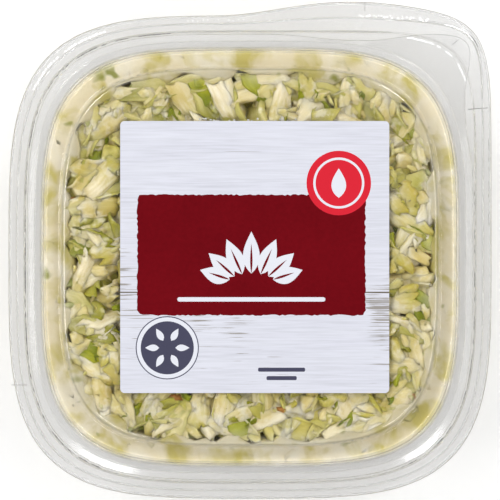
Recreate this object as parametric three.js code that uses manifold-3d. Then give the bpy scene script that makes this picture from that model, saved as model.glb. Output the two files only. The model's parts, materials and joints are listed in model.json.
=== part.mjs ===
// Coleslaw in a clear tub with its lid shut. Millimetres, +Z up.
// The origin is the middle of the tub's foot, on the surface it stands on.
// +Y is the side away from a person who reads the label, and the lid's lifting tab is at +X +Y.

import * as THREE from 'three';
import { mergeVertices } from 'three/addons/utils/BufferGeometryUtils.js';
import Module from 'manifold-3d';

// Plan of the pack: half widths, measured from the middle to a flat side
const FLANGE_HALF = 72.1;
const RIM_OUTER_HALF = 69.3;
const RIM_INNER_HALF = 66.9;
const FLANGE_INNER_HALF = 63.4;
const LID_HALF = 66.4;
const OPENING_HALF = 62.0;
const PANEL_HALF = 56.0;
const FOOT_HALF = 55.6;

// Heights
const LEDGE_Z = 35.6;
const RIM_Z = 37.2;
const SEAT_Z = 35.0;
const PANEL_Z = 36.8;
const GROOVE_Z = 31.6;

// Sheet thicknesses, the wall's slope and the gap that parts keep
const TUB_WALL = 0.6;
const LID_WALL = 0.4;
const DRAFT = 0.063;
const GAP = 0.3;

// Corners are superellipses: the exponent grows where a corner is squarer
const CORNER = 3.8;
const FLANGE_TAB_CORNER = 8.6;
const RIM_OUTER_TAB_CORNER = 11.6;
const RIM_INNER_TAB_CORNER = 7;
const LID_TAB_CORNER = 20;
const SEGMENTS = 64;
const CORNER_CROWDING = 0.14;

// The lifting tab: a bulge of the flange and two nicks in the lid's edge, by direction
const FLANGE_BULGE = { at: 67, before: 29, after: 31, height: 4.5 };
const LID_NICKS = [
  { at: 37, before: 19, after: 7.5, depth: 3.0 },
  { at: 61, before: 11, after: 25, depth: 2.2 },
];
const TAB_RISE = 0.6;
const RIM_DROP = 1.5;

// Label
const LABEL_WIDTH = 80.0;
const LABEL_HEIGHT = 80.9;
const LABEL_RADIUS = 1.3;
const LABEL_THICKNESS = 0.12;
const LABEL_SHIFT_X = 1.4;
const LABEL_GAP = 0.05;

// Salad
const SEED = 20417;
const CORE_TOP_Z = 33.1;
const CORE_GROOVE_Z = 29.6;
const CORE_INSET = 1.7;
const CUT = { length: [11, 19], width: [5, 8.5], thickness: [1.8, 3.2] };

const wasm = await Module();
wasm.setup();

// A smooth hump in direction: 1 at its middle and 0 at either end
function hump(degrees, { at, before, after }) {
  const offset = degrees - at;
  const t = Math.abs(offset) / (offset < 0 ? before : after);
  return t < 1 ? Math.cos((Math.PI / 2) * t) ** 2 : 0;
}

// How far the tab's corner shape has taken over from the plain corner, 0 to 1
function tabShare(degrees) {
  const rise = THREE.MathUtils.smoothstep(degrees, 2, 18);
  const fall = 1 - THREE.MathUtils.smoothstep(degrees, 72, 88);
  return Math.min(rise, fall);
}

// The stretch of the corner where the lid's tab lies over the tub's rim, 0 to 1
function overlapShare(degrees) {
  const rise = THREE.MathUtils.smoothstep(degrees, 28, 37);
  const fall = 1 - THREE.MathUtils.smoothstep(degrees, 56, 65);
  return Math.min(rise, fall);
}

// Length of the ray from the middle to a superellipse of half width 1
function reach(radians, exponent) {
  const across = Math.abs(Math.cos(radians)) ** exponent;
  const along = Math.abs(Math.sin(radians)) ** exponent;
  return (across + along) ** (-1 / exponent);
}

// Inside half width of the tub's sloping wall at a height
function wallHalf(z) {
  return OPENING_HALF - (SEAT_Z - z) * DRAFT;
}

// Directions of the outline's points, crowded into the corners
function directions(segments) {
  return Array.from({ length: segments }, (_, i) => {
    const even = (2 * Math.PI * i) / segments;
    return even + CORNER_CROWDING * Math.sin(4 * even);
  });
}

// A lathe turned into a rounded square. A profile point has a half width r and a height z.
// Where it has tab, the corner at +X +Y takes that exponent, and adjust moves it further.
function squareLathe(profile, segments = SEGMENTS) {
  const points = profile.map(({ r, z }) => new THREE.Vector2(r, z));
  const geometry = new THREE.LatheGeometry(points, segments);
  const angles = directions(segments);
  const position = geometry.attributes.position;
  for (let i = 0; i <= segments; i += 1) {
    const angle = angles[i % segments];
    const degrees = THREE.MathUtils.radToDeg(angle);
    profile.forEach((point, j) => {
      const exponent = THREE.MathUtils.lerp(CORNER, point.tab ?? CORNER, tabShare(degrees));
      const change = point.adjust ? point.adjust(degrees) : { r: 0, z: 0 };
      const ray = point.r * reach(angle, exponent) + change.r;
      const index = i * profile.length + j;
      position.setXYZ(index, ray * Math.cos(angle), ray * Math.sin(angle), point.z + change.z);
    });
  }
  return closedSurface(geometry);
}

// Merge shared corners, drop triangles without area and make the faces point outwards
function closedSurface(geometry) {
  geometry.deleteAttribute('normal');
  geometry.deleteAttribute('uv');
  const merged = mergeVertices(geometry, 1e-4);
  const index = merged.index.array;
  const kept = [];
  for (let i = 0; i < index.length; i += 3) {
    const [a, b, c] = [index[i], index[i + 1], index[i + 2]];
    if (a !== b && b !== c && c !== a) kept.push(a, b, c);
  }
  merged.setIndex(kept);
  if (signedVolume(merged) < 0) {
    for (let i = 0; i < kept.length; i += 3) [kept[i], kept[i + 1]] = [kept[i + 1], kept[i]];
    merged.setIndex(kept);
  }
  return merged;
}

function signedVolume(geometry) {
  const index = geometry.index.array;
  const [a, b, c] = [new THREE.Vector3(), new THREE.Vector3(), new THREE.Vector3()];
  let volume = 0;
  for (let i = 0; i < index.length; i += 3) {
    a.fromBufferAttribute(geometry.attributes.position, index[i]);
    b.fromBufferAttribute(geometry.attributes.position, index[i + 1]);
    c.fromBufferAttribute(geometry.attributes.position, index[i + 2]);
    volume += a.dot(b.cross(c)) / 6;
  }
  return volume;
}

function toSolid(geometry) {
  return new wasm.Manifold(new wasm.Mesh({
    numProp: 3,
    vertProperties: new Float32Array(geometry.attributes.position.array),
    triVerts: new Uint32Array(geometry.index.array),
  }));
}

function toGeometry(solid) {
  const mesh = solid.getMesh();
  const geometry = new THREE.BufferGeometry();
  geometry.setAttribute('position', new THREE.BufferAttribute(mesh.vertProperties, 3));
  geometry.setIndex(new THREE.BufferAttribute(mesh.triVerts, 1));
  return geometry;
}

function material(color, roughness, opacity = 1) {
  const transparent = opacity < 1;
  return new THREE.MeshStandardMaterial({ color, roughness, metalness: 0, opacity, transparent });
}

// Tub: a flat base and a sloping wall that turns out at the top
function makeTub() {
  const under = SEAT_Z - TUB_WALL;
  return squareLathe([
    { r: 0, z: 0 },
    { r: FOOT_HALF, z: 0 },
    { r: FOOT_HALF + 3, z: 1.4 },
    { r: wallHalf(5) + TUB_WALL, z: 5 },
    { r: wallHalf(under - 1) + TUB_WALL, z: under - 1 },
    { r: FLANGE_INNER_HALF - GAP, z: under },
    { r: FLANGE_INNER_HALF - GAP, z: SEAT_Z },
    { r: OPENING_HALF + 0.5, z: SEAT_Z },
    { r: wallHalf(under), z: under },
    { r: wallHalf(5.2), z: 5.2 },
    { r: FOOT_HALF + 2.5, z: 1.9 },
    { r: FOOT_HALF - 0.3, z: TUB_WALL },
    { r: 0, z: TUB_WALL },
  ]);
}

// The tub's flange: a flat seat for the lid, an upstanding rim and an outer ledge with a lip
function makeFlange() {
  const bulge = (degrees) => FLANGE_BULGE.height * hump(degrees, FLANGE_BULGE);
  const ledge = (r, z) => ({
    r,
    z,
    tab: FLANGE_TAB_CORNER,
    adjust: (degrees) => ({ r: bulge(degrees), z: 0 }),
  });
  const rim = (r, z, tab, dropping) => ({
    r,
    z,
    tab,
    adjust: (degrees) => ({
      r: (tab === RIM_OUTER_TAB_CORNER ? 0.45 : 0) * bulge(degrees),
      z: dropping ? -RIM_DROP * overlapShare(degrees) : 0,
    }),
  });
  const under = SEAT_Z - TUB_WALL;
  const innerEdge = { r: FLANGE_INNER_HALF, z: under };
  return squareLathe([
    innerEdge,
    rim(RIM_INNER_HALF - 0.3, under, RIM_INNER_TAB_CORNER, false),
    rim(RIM_INNER_HALF + 0.6, RIM_Z - TUB_WALL, RIM_INNER_TAB_CORNER, true),
    rim(RIM_OUTER_HALF - 0.7, RIM_Z - TUB_WALL, RIM_OUTER_TAB_CORNER, true),
    rim(RIM_OUTER_HALF - 0.1, LEDGE_Z - TUB_WALL, RIM_OUTER_TAB_CORNER, false),
    ledge(FLANGE_HALF - TUB_WALL, LEDGE_Z - TUB_WALL),
    ledge(FLANGE_HALF - TUB_WALL, LEDGE_Z - 1.7),
    ledge(FLANGE_HALF, LEDGE_Z - 1.7),
    ledge(FLANGE_HALF, LEDGE_Z),
    rim(RIM_OUTER_HALF + 0.5, LEDGE_Z, RIM_OUTER_TAB_CORNER, false),
    rim(RIM_OUTER_HALF, RIM_Z, RIM_OUTER_TAB_CORNER, true),
    rim(RIM_INNER_HALF + 0.4, RIM_Z, RIM_INNER_TAB_CORNER, true),
    rim(RIM_INNER_HALF, SEAT_Z, RIM_INNER_TAB_CORNER, false),
    { r: FLANGE_INNER_HALF, z: SEAT_Z },
    innerEdge,
  ]);
}

// Lid: a raised panel, a groove around it that presses on the salad, and a flange with a tab
function makeLid() {
  const nicks = (degrees) => LID_NICKS.reduce((sum, nick) => sum + nick.depth * hump(degrees, nick), 0);
  const edge = (r, z) => ({
    r,
    z,
    tab: LID_TAB_CORNER,
    adjust: (degrees) => ({ r: -nicks(degrees), z: TAB_RISE * overlapShare(degrees) }),
  });
  const plain = (r, z) => ({ r, z });
  const bead = SEAT_Z + GAP + LID_WALL + 0.7;
  const edgeTop = SEAT_Z + GAP + LID_WALL;
  const profile = [
    plain(0, PANEL_Z),
    plain(PANEL_HALF - 0.5, PANEL_Z),
    plain(PANEL_HALF + 0.1, PANEL_Z - 0.5),
    plain(PANEL_HALF + 0.9, GROOVE_Z + 0.4),
    plain(PANEL_HALF + 1.4, GROOVE_Z),
    plain(OPENING_HALF - 1.4, GROOVE_Z),
    plain(OPENING_HALF - 1.0, GROOVE_Z + 0.4),
    plain(OPENING_HALF - 0.7, bead - 0.5),
    plain(OPENING_HALF - 0.1, bead),
    plain(LID_HALF - 2.4, bead),
    edge(LID_HALF - 1.4, edgeTop),
    edge(LID_HALF, edgeTop),
    edge(LID_HALF, edgeTop - LID_WALL),
    edge(LID_HALF - 1.7, edgeTop - LID_WALL),
    plain(LID_HALF - 2.6, bead - LID_WALL),
    plain(OPENING_HALF + 0.1, bead - LID_WALL),
    plain(OPENING_HALF - 0.3, bead - 0.8),
    plain(OPENING_HALF - 0.6, GROOVE_Z + 0.2),
    plain(OPENING_HALF - 1.2, GROOVE_Z - LID_WALL),
    plain(PANEL_HALF + 1.1, GROOVE_Z - LID_WALL),
    plain(PANEL_HALF + 0.5, GROOVE_Z + 0.2),
    plain(PANEL_HALF - 0.3, PANEL_Z - 0.7),
    plain(PANEL_HALF - 0.8, PANEL_Z - LID_WALL),
    plain(0, PANEL_Z - LID_WALL),
  ];
  return squareLathe(profile);
}

// Label: a thin sheet with rounded corners, stuck on the lid's raised panel
function makeLabel() {
  const [w, h, r] = [LABEL_WIDTH / 2, LABEL_HEIGHT / 2, LABEL_RADIUS];
  const outline = new THREE.Shape();
  outline.absarc(w - r, h - r, r, 0, Math.PI / 2);
  outline.absarc(r - w, h - r, r, Math.PI / 2, Math.PI);
  outline.absarc(r - w, r - h, r, Math.PI, 1.5 * Math.PI);
  outline.absarc(w - r, r - h, r, 1.5 * Math.PI, 2 * Math.PI);
  outline.closePath();
  const sheet = { depth: LABEL_THICKNESS, bevelEnabled: false, curveSegments: 3 };
  return closedSurface(new THREE.ExtrudeGeometry(outline, sheet));
}

// Repeatable random numbers from 0 to 1
function randomSource(seed) {
  let state = seed;
  return () => {
    state = (state + 0x6d2b79f5) | 0;
    let t = Math.imul(state ^ (state >>> 15), 1 | state);
    t = (t + Math.imul(t ^ (t >>> 7), 61 | t)) ^ t;
    return ((t ^ (t >>> 14)) >>> 0) / 4294967296;
  };
}

// The space inside tub and lid that salad may fill
function cavity() {
  const top = PANEL_Z - LID_WALL - GAP;
  const shoulder = GROOVE_Z - LID_WALL - GAP;
  return squareLathe([
    { r: 0, z: TUB_WALL + GAP },
    { r: FOOT_HALF - 0.4, z: TUB_WALL + GAP },
    { r: FOOT_HALF + 2.1, z: 2.2 },
    { r: wallHalf(5.4) - GAP, z: 5.4 },
    { r: wallHalf(shoulder) - GAP - 0.1, z: shoulder },
    { r: PANEL_HALF - 0.1, z: shoulder },
    { r: PANEL_HALF - 1.0, z: top - 0.5 },
    { r: PANEL_HALF - 1.5, z: top },
    { r: 0, z: top },
  ]);
}

// Plain heart of the salad, a little smaller than the space it fills
function core() {
  const side = (z) => ({ r: wallHalf(z) - CORE_INSET, z });
  return squareLathe([
    { r: 0, z: TUB_WALL + GAP },
    { r: FOOT_HALF - 2, z: TUB_WALL + GAP },
    side(6),
    side(CORE_GROOVE_Z),
    { r: PANEL_HALF - 1.2, z: CORE_GROOVE_Z },
    { r: PANEL_HALF - 4, z: CORE_TOP_Z },
    { r: 0, z: CORE_TOP_Z },
  ], 32);
}

// One cut of cabbage: a strip that tapers to its ends, bent along its length
function cut(random) {
  const pick = ([low, high]) => low + (high - low) * random();
  const [length, width, thickness] = [pick(CUT.length), pick(CUT.width), pick(CUT.thickness)];
  const bend = THREE.MathUtils.lerp(-1.6, 3.0, random());
  const taper = THREE.MathUtils.lerp(0.5, 0.95, random());
  const geometry = new THREE.BoxGeometry(length, width, thickness, 3, 1, 1);
  const position = geometry.attributes.position;
  for (let i = 0; i < position.count; i += 1) {
    const along = (2 * position.getX(i)) / length;
    position.setY(i, position.getY(i) * THREE.MathUtils.lerp(1, taper, along ** 2));
    position.setZ(i, position.getZ(i) - bend * along ** 2);
  }
  return geometry;
}

// Places for the cuts that show: under the panel, under the groove, and along the walls
function cutPlaces(random) {
  const jitter = (amount) => amount * (random() - 0.5);
  const turn = (x, y, z) => new THREE.Quaternion().setFromEuler(new THREE.Euler(x, y, z, 'ZYX'));
  const places = [];
  const rows = 8;
  const pitch = (2 * (PANEL_HALF - 8)) / (rows - 1);
  for (let row = 0; row < rows; row += 1) {
    for (let column = 0; column < rows; column += 1) {
      const x = (column - (rows - 1) / 2) * pitch + jitter(5);
      const y = (row - (rows - 1) / 2) * pitch + jitter(5);
      const z = CORE_TOP_Z + 0.4 + 1.7 * random();
      const at = new THREE.Vector3(x, y, z);
      places.push({ at, turn: turn(jitter(0.5), jitter(0.5), 2 * Math.PI * random()) });
    }
  }
  const around = 24;
  for (let i = 0; i < around; i += 1) {
    const angle = (2 * Math.PI * (i + jitter(0.5))) / around;
    const ray = (half) => half * reach(angle, CORNER);
    const outward = new THREE.Vector3(Math.cos(angle), Math.sin(angle), 0);
    const band = outward.clone().multiplyScalar(ray(PANEL_HALF + 1.6)).setZ(CORE_GROOVE_Z + 0.2);
    places.push({ at: band, turn: turn(0, 0, angle + Math.PI / 2 + jitter(1.2)) });
    const z = 7 + 18 * random();
    const wall = outward.clone().multiplyScalar(ray(wallHalf(z) - 1.6)).setZ(z);
    places.push({ at: wall, turn: turn(Math.PI / 2 + jitter(0.3), jitter(2.4), angle + Math.PI / 2) });
  }
  return places;
}

// Salad: the heart with the showing cuts fused on, trimmed to the space inside the pack
function makeSalad() {
  const random = randomSource(SEED);
  const pieces = [toSolid(core())];
  for (const { at, turn } of cutPlaces(random)) {
    const geometry = cut(random).applyQuaternion(turn).translate(at.x, at.y, at.z);
    pieces.push(toSolid(closedSurface(geometry)));
  }
  const fused = wasm.Manifold.union(pieces).intersect(toSolid(cavity()));
  const shells = fused.decompose().sort((a, b) => b.volume() - a.volume());
  return toGeometry(shells[0]);
}

const pack = new THREE.Group();

const tub = new THREE.Mesh(makeTub(), material(0xe6eaea, 0.08, 0.3));
tub.name = 'tub';
pack.add(tub);

const flange = new THREE.Mesh(makeFlange(), material(0xe6eaea, 0.08, 0.3));
flange.name = 'tub_flange';
pack.add(flange);

const salad = new THREE.Mesh(makeSalad(), material(0xd9d3a2, 0.45));
salad.name = 'coleslaw';
pack.add(salad);

const lid = new THREE.Mesh(makeLid(), material(0xeef1f1, 0.08, 0.25));
lid.name = 'lid';
pack.add(lid);

const label = new THREE.Mesh(makeLabel(), material(0xe9eaf2, 0.5));
label.name = 'label';
label.position.set(LABEL_SHIFT_X, 0, PANEL_Z + LABEL_GAP);
pack.add(label);

export default pack;
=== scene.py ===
"""Coleslaw in a shut clear tub: the finished surfaces, dressed over the fixed frame."""

import json
import math
from collections import namedtuple

import bpy
import numpy as np
from bpy.props import FloatProperty, FloatVectorProperty, IntProperty, PointerProperty
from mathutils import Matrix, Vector
from mathutils.geometry import delaunay_2d_cdt

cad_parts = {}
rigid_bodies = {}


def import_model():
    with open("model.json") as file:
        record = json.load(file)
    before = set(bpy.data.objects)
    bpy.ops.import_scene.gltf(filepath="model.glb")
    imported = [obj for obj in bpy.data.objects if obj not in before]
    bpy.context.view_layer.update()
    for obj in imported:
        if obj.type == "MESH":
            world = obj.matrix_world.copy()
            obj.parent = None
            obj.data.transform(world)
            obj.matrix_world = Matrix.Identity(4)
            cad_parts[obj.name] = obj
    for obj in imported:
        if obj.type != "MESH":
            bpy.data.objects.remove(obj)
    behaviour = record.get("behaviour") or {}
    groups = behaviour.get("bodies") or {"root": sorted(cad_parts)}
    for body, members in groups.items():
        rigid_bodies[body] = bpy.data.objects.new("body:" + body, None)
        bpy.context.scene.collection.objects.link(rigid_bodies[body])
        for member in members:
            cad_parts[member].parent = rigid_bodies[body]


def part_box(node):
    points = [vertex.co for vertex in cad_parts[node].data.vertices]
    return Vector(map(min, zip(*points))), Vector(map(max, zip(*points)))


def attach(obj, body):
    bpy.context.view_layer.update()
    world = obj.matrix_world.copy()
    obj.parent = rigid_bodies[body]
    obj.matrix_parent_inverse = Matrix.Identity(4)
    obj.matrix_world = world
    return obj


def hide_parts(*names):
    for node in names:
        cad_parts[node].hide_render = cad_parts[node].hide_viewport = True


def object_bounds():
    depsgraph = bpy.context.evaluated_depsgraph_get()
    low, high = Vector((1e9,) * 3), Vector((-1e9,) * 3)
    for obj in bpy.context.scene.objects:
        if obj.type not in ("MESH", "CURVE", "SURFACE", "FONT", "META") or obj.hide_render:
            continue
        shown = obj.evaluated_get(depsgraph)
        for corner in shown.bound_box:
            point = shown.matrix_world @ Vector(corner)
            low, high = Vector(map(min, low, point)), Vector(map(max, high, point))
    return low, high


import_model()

bl_info = {
    "name": "Coleslaw tub",
    "version": (1, 0, 0),
    "blender": (4, 5, 0),
    "location": "3D View > Sidebar > Coleslaw",
    "description": "Builds a shut clear tub of coleslaw with its lid and label",
    "category": "Object",
}

MM = 0.001
BODY = "root"

# The frame's own sizes
CAD_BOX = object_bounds()
FLANGE_LOW, FLANGE_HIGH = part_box("tub_flange")
LID_LOW, LID_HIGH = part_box("lid")
LABEL_LOW, LABEL_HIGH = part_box("label")
RIM_Z = FLANGE_HIGH.z
PANEL_Z = LID_HIGH.z
GROOVE_Z = LID_LOW.z

# Half widths that follow from the outer ones
FLANGE_HALF = -FLANGE_LOW.x
LID_HALF = -LID_LOW.x
RIM_OUTER_HALF = FLANGE_HALF - 2.8 * MM
RIM_INNER_HALF = LID_HALF + 0.5 * MM
OPENING_HALF = LID_HALF - 4.4 * MM
PANEL_HALF = OPENING_HALF - 6.0 * MM
FOOT_HALF = OPENING_HALF - 6.4 * MM
SEAT_Z = RIM_Z - 2.2 * MM
LEDGE_Z = RIM_Z - 1.6 * MM
DRAFT = 0.063
HEEL_Z = 5.4 * MM
HEEL_INSET = 4.6 * MM
FLOOR_TOP = 0.5 * MM
PANEL_UNDER_Z = PANEL_Z - 0.4 * MM
TOP_PART_Z = 20 * MM

# Corner shapes: superellipse exponents, higher where a corner is squarer
CORNER = 3.8
FLANGE_TAB = 8.6
RIM_OUTER_TAB = 11.6
RIM_INNER_TAB = 7.0
LID_TAB = 20.0

# The lifting tab, by direction in degrees: middle, spread before, spread after, size
FLANGE_BULGE = (67.0, 29.0, 31.0, 4.4 * MM)
LID_NICKS = ((37.0, 19.0, 7.5, 3.0 * MM), (61.0, 11.0, 25.0, 2.2 * MM))
RIM_DROP = 1.5 * MM
TAB_RISE = 0.6 * MM

# Points round a sheet, and how much they crowd into its corners
SHEET_SEGMENTS = 256
CORNER_CROWDING = 0.14

# One corner of a profile: half width, height and radius, exponent of the tab's corner, and
# shares of the flange's bulge, the rim's drop, the lid's nicks and the tab's rise
Corner = namedtuple("Corner", "r z radius tab bulge drop nick rise",
                    defaults=(0.0, CORNER, 0.0, 0.0, 0.0, 0.0))


class PackSizes(bpy.types.PropertyGroup):
    """Sizes of the pack that a user would change"""

    tub_sheet: FloatProperty(
        name="Tub sheet", description="Thickness of the tub's sheet",
        default=0.5 * MM, min=0.2 * MM, max=0.6 * MM, unit="LENGTH", precision=5)
    lid_sheet: FloatProperty(
        name="Lid sheet", description="Thickness of the lid's sheet",
        default=0.34 * MM, min=0.2 * MM, max=0.4 * MM, unit="LENGTH", precision=5)
    heel: FloatProperty(
        name="Heel", description="Radius between the tub's base and wall",
        default=5.0 * MM, min=2 * MM, max=8 * MM, unit="LENGTH", precision=5)


class SaladSizes(bpy.types.PropertyGroup):
    """Sizes and amounts of the salad that a user would change"""

    seed: IntProperty(
        name="Seed", description="Start of the random draws", default=11, min=0)
    spacing: FloatProperty(
        name="Spacing", description="Least distance between the middles of two cuts",
        default=5.4 * MM, min=3 * MM, max=12 * MM, unit="LENGTH", precision=5)
    cut_length: FloatProperty(
        name="Cut length", description="Length of a cut of cabbage rib",
        default=13.5 * MM, min=6 * MM, max=25 * MM, unit="LENGTH", precision=5)
    cut_width: FloatProperty(
        name="Cut width", description="Width of a cut of cabbage rib",
        default=7.0 * MM, min=3 * MM, max=12 * MM, unit="LENGTH", precision=5)


class PackColours(bpy.types.PropertyGroup):
    """Colours of the salad and the label that a user would change"""

    rib: FloatVectorProperty(
        name="Rib", description="Pale cabbage rib", subtype="COLOR",
        size=3, min=0, max=1, default=(0.74, 0.63, 0.33))
    leaf: FloatVectorProperty(
        name="Leaf", description="Yellow-green cabbage leaf", subtype="COLOR",
        size=3, min=0, max=1, default=(0.54, 0.465, 0.105))
    green: FloatVectorProperty(
        name="Green leaf", description="Dark green outer leaf", subtype="COLOR",
        size=3, min=0, max=1, default=(0.27, 0.29, 0.004))
    carrot: FloatVectorProperty(
        name="Carrot", description="Shred of carrot", subtype="COLOR",
        size=3, min=0, max=1, default=(0.42, 0.20, 0.04))
    dressing: FloatVectorProperty(
        name="Dressing", description="Creamy dressing", subtype="COLOR",
        size=3, min=0, max=1, default=(0.82, 0.765, 0.62))
    board: FloatVectorProperty(
        name="Board", description="Pale painted boards of the label", subtype="COLOR",
        size=3, min=0, max=1, default=(0.83, 0.84, 0.94))
    wine: FloatVectorProperty(
        name="Dark red", description="Dark red panel of the label", subtype="COLOR",
        size=3, min=0, max=1, default=(0.155, 0.0, 0.004))
    red: FloatVectorProperty(
        name="Bright red", description="Bright red disc of the label", subtype="COLOR",
        size=3, min=0, max=1, default=(0.77, 0.022, 0.042))
    slate: FloatVectorProperty(
        name="Slate", description="Slate roundel of the label", subtype="COLOR",
        size=3, min=0, max=1, default=(0.072, 0.072, 0.12))


# Outline of the pack

def reach(angle, exponent):
    """Ray from the middle to a superellipse of half width 1."""
    across = np.abs(np.cos(angle)) ** exponent
    along = np.abs(np.sin(angle)) ** exponent
    return (across + along) ** (-1.0 / exponent)


def smoothstep(value, start, end):
    """A smooth rise from 0 at the start to 1 at the end."""
    t = np.clip((value - start) / (end - start), 0.0, 1.0)
    return t * t * (3.0 - 2.0 * t)


def hump(degrees, middle, before, after, size):
    """A smooth rise and fall in direction."""
    offset = degrees - middle
    t = np.clip(np.abs(offset) / np.where(offset < 0, before, after), 0.0, 1.0)
    return size * np.cos(0.5 * math.pi * t) ** 2


def tab_share(degrees):
    """How far the tab's corner shape has taken over from the plain corner."""
    return np.minimum(smoothstep(degrees, 2, 18), 1 - smoothstep(degrees, 72, 88))


def overlap_share(degrees):
    """Stretch of the corner where the lid's tab lies over the tub's rim."""
    return np.minimum(smoothstep(degrees, 28, 37), 1 - smoothstep(degrees, 56, 65))


def directions(segments):
    """Directions of an outline's points, crowded into the corners."""
    even = 2 * math.pi * np.arange(segments) / segments
    return even + CORNER_CROWDING * np.sin(4 * even)


def ring(corner, angles):
    """Points of one profile corner all the way round the pack."""
    degrees = np.degrees(angles)
    exponent = CORNER + (corner.tab - CORNER) * tab_share(degrees)
    ray = corner.r * reach(angles, exponent)
    ray += corner.bulge * hump(degrees, *FLANGE_BULGE)
    ray -= corner.nick * sum(hump(degrees, *nick) for nick in LID_NICKS)
    lift = (corner.rise * TAB_RISE - corner.drop * RIM_DROP) * overlap_share(degrees)
    return np.column_stack((ray * np.cos(angles), ray * np.sin(angles), corner.z + lift))


def rounded(corners, steps=6):
    """The profile with each corner of some radius turned into an arc."""
    done = [corners[0]]
    for before, corner, after in zip(corners, corners[1:], corners[2:]):
        here = Vector((corner.r, corner.z))
        back = Vector((before.r, before.z)) - here
        on = Vector((after.r, after.z)) - here
        half_turn = 0.5 * back.angle(on)
        trim = corner.radius / math.tan(half_turn)
        trim = min(trim, 0.42 * back.length, 0.42 * on.length)
        if trim <= 0:
            done.append(corner)
            continue
        start, end = here + back.normalized() * trim, here + on.normalized() * trim
        spare = min(0.12 * MM, 0.4 * (back.length - trim), 0.4 * (on.length - trim))
        arc = [here + back.normalized() * (trim + spare)]
        for step in range(steps + 1):
            t = step / steps
            arc.append((1 - t) ** 2 * start + 2 * t * (1 - t) * here + t * t * end)
        arc.append(here + on.normalized() * (trim + spare))
        done += [corner._replace(r=point.x, z=point.y) for point in arc]
    done.append(corners[-1])
    return done


def thickened(profile, thickness):
    """Both faces of a sheet whose middle is the profile, as one closed profile."""
    points = np.array([(p.r, p.z) for p in profile])
    along = np.gradient(points, axis=0)
    along /= np.linalg.norm(along, axis=1, keepdims=True)
    normal = np.column_stack((-along[:, 1], along[:, 0]))
    normal[0] = (0, math.copysign(1, normal[0][1]))
    faces = []
    for side in (-0.5, 0.5):
        moved = points + side * thickness * normal
        moved[0, 0] = 0
        faces.append([p._replace(r=r, z=z) for p, (r, z) in zip(profile, moved)])
    return faces[0] + faces[1][::-1]


def new_object(name, data):
    """A new object of the scene."""
    obj = bpy.data.objects.new(name, data)
    bpy.context.scene.collection.objects.link(obj)
    return obj


def new_mesh(name, points, edges=(), faces=()):
    mesh = bpy.data.meshes.new(name)
    mesh.from_pydata([tuple(point) for point in points], edges, faces)
    return mesh


def set_smooth(mesh, smooth=True):
    mesh.polygons.foreach_set("use_smooth", [smooth] * len(mesh.polygons))


def read_points(mesh):
    """The mesh's points as rows of x, y and z."""
    points = np.empty(len(mesh.vertices) * 3)
    mesh.vertices.foreach_get("co", points)
    return points.reshape(-1, 3)


def band_faces(rings, segments, first=0):
    """Quads between rings of points that follow each other."""
    faces = []
    for a in range(first, first + (rings - 1) * segments, segments):
        b = a + segments
        for i in range(segments):
            j = (i + 1) % segments
            faces.append((a + i, a + j, b + j, b + i))
    return faces


def lathe(name, profile, segments=SHEET_SEGMENTS):
    """A closed rounded-square lathe. The profile starts and ends on the axis."""
    angles = directions(segments)
    rings = [ring(corner, angles) for corner in profile[1:-1]]
    points = [(0, 0, profile[0].z), *np.concatenate(rings).tolist(), (0, 0, profile[-1].z)]
    last = len(points) - 1
    end = last - segments
    faces = band_faces(len(rings), segments, 1)
    for i in range(segments):
        j = (i + 1) % segments
        faces += [(0, 1 + j, 1 + i), (last, end + i, end + j)]
    return closed_object(name, points, faces)


def closed_object(name, points, faces, smooth=True):
    """A closed mesh as an object of the scene, with its faces pointing out."""
    mesh = new_mesh(name, points, faces=faces)
    mesh.validate()
    if volume(mesh) < 0:
        mesh.flip_normals()
    set_smooth(mesh, smooth)
    return new_object(name, mesh)


def flatten_normals(mesh):
    """Weigh each point's normal by area, so that a wide flat stays flat to its edge."""
    normals = np.zeros((len(mesh.vertices), 3))
    for face in mesh.polygons:
        normals[list(face.vertices)] += np.array(face.normal) * face.area
    normals /= np.maximum(np.linalg.norm(normals, axis=1, keepdims=True), 1e-20)
    mesh.normals_split_custom_set_from_vertices(normals.tolist())


def volume(mesh):
    """Signed volume inside a closed mesh."""
    mesh.calc_loop_triangles()
    corners = read_points(mesh)
    index = np.empty(len(mesh.loop_triangles) * 3, dtype=np.int64)
    mesh.loop_triangles.foreach_get("vertices", index)
    a, b, c = (corners[index.reshape(-1, 3)[:, i]] for i in range(3))
    return float(np.einsum("ij,ij->", a, np.cross(b, c)) / 6)


def finish_piece(obj, material, slot, *nodes):
    """Give a piece its finish, its body and the nodes it stands for. Its slot is not used."""
    inks = [polygon.material_index for polygon in obj.data.polygons]
    obj.data.materials.clear()
    for each in material if isinstance(material, (list, tuple)) else [material]:
        obj.data.materials.append(each)
    obj.data.polygons.foreach_set("material_index", inks)
    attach(obj, BODY)
    if nodes:
        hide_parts(*nodes)
    return obj


# Space inside the shut pack

def wall_half(z):
    """Inside half width of the sloping wall at a height."""
    return OPENING_HALF - (SEAT_Z - z) * DRAFT


def square_distance(x, y):
    """Half width of the rounded square that passes through a point."""
    return (np.abs(x) ** CORNER + np.abs(y) ** CORNER) ** (1.0 / CORNER)


def soft_limit(value, limit, softness):
    """Never above the limit, and unchanged well below it."""
    return limit - softness * np.logaddexp(0.0, (limit - value) / softness)


def press_inside(points, reach_in, softness=0.45 * MM):
    """Press points into the pack, so that they reach reach_in into its sheets."""
    x, y, z = points.T.copy()
    half = np.maximum(square_distance(x, y), 1e-6)
    z = -soft_limit(-z, reach_in - FLOOR_TOP, softness)
    heel = np.clip((HEEL_Z - z) / HEEL_Z, 0.0, 1.0)
    wall = wall_half(z) - HEEL_INSET * heel ** 2.2 + reach_in
    pressed = soft_limit(half, wall, softness)
    x, y = x * pressed / half, y * pressed / half
    z = soft_limit(z, ceiling(pressed, reach_in), softness)
    return np.column_stack((x, y, z))


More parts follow.
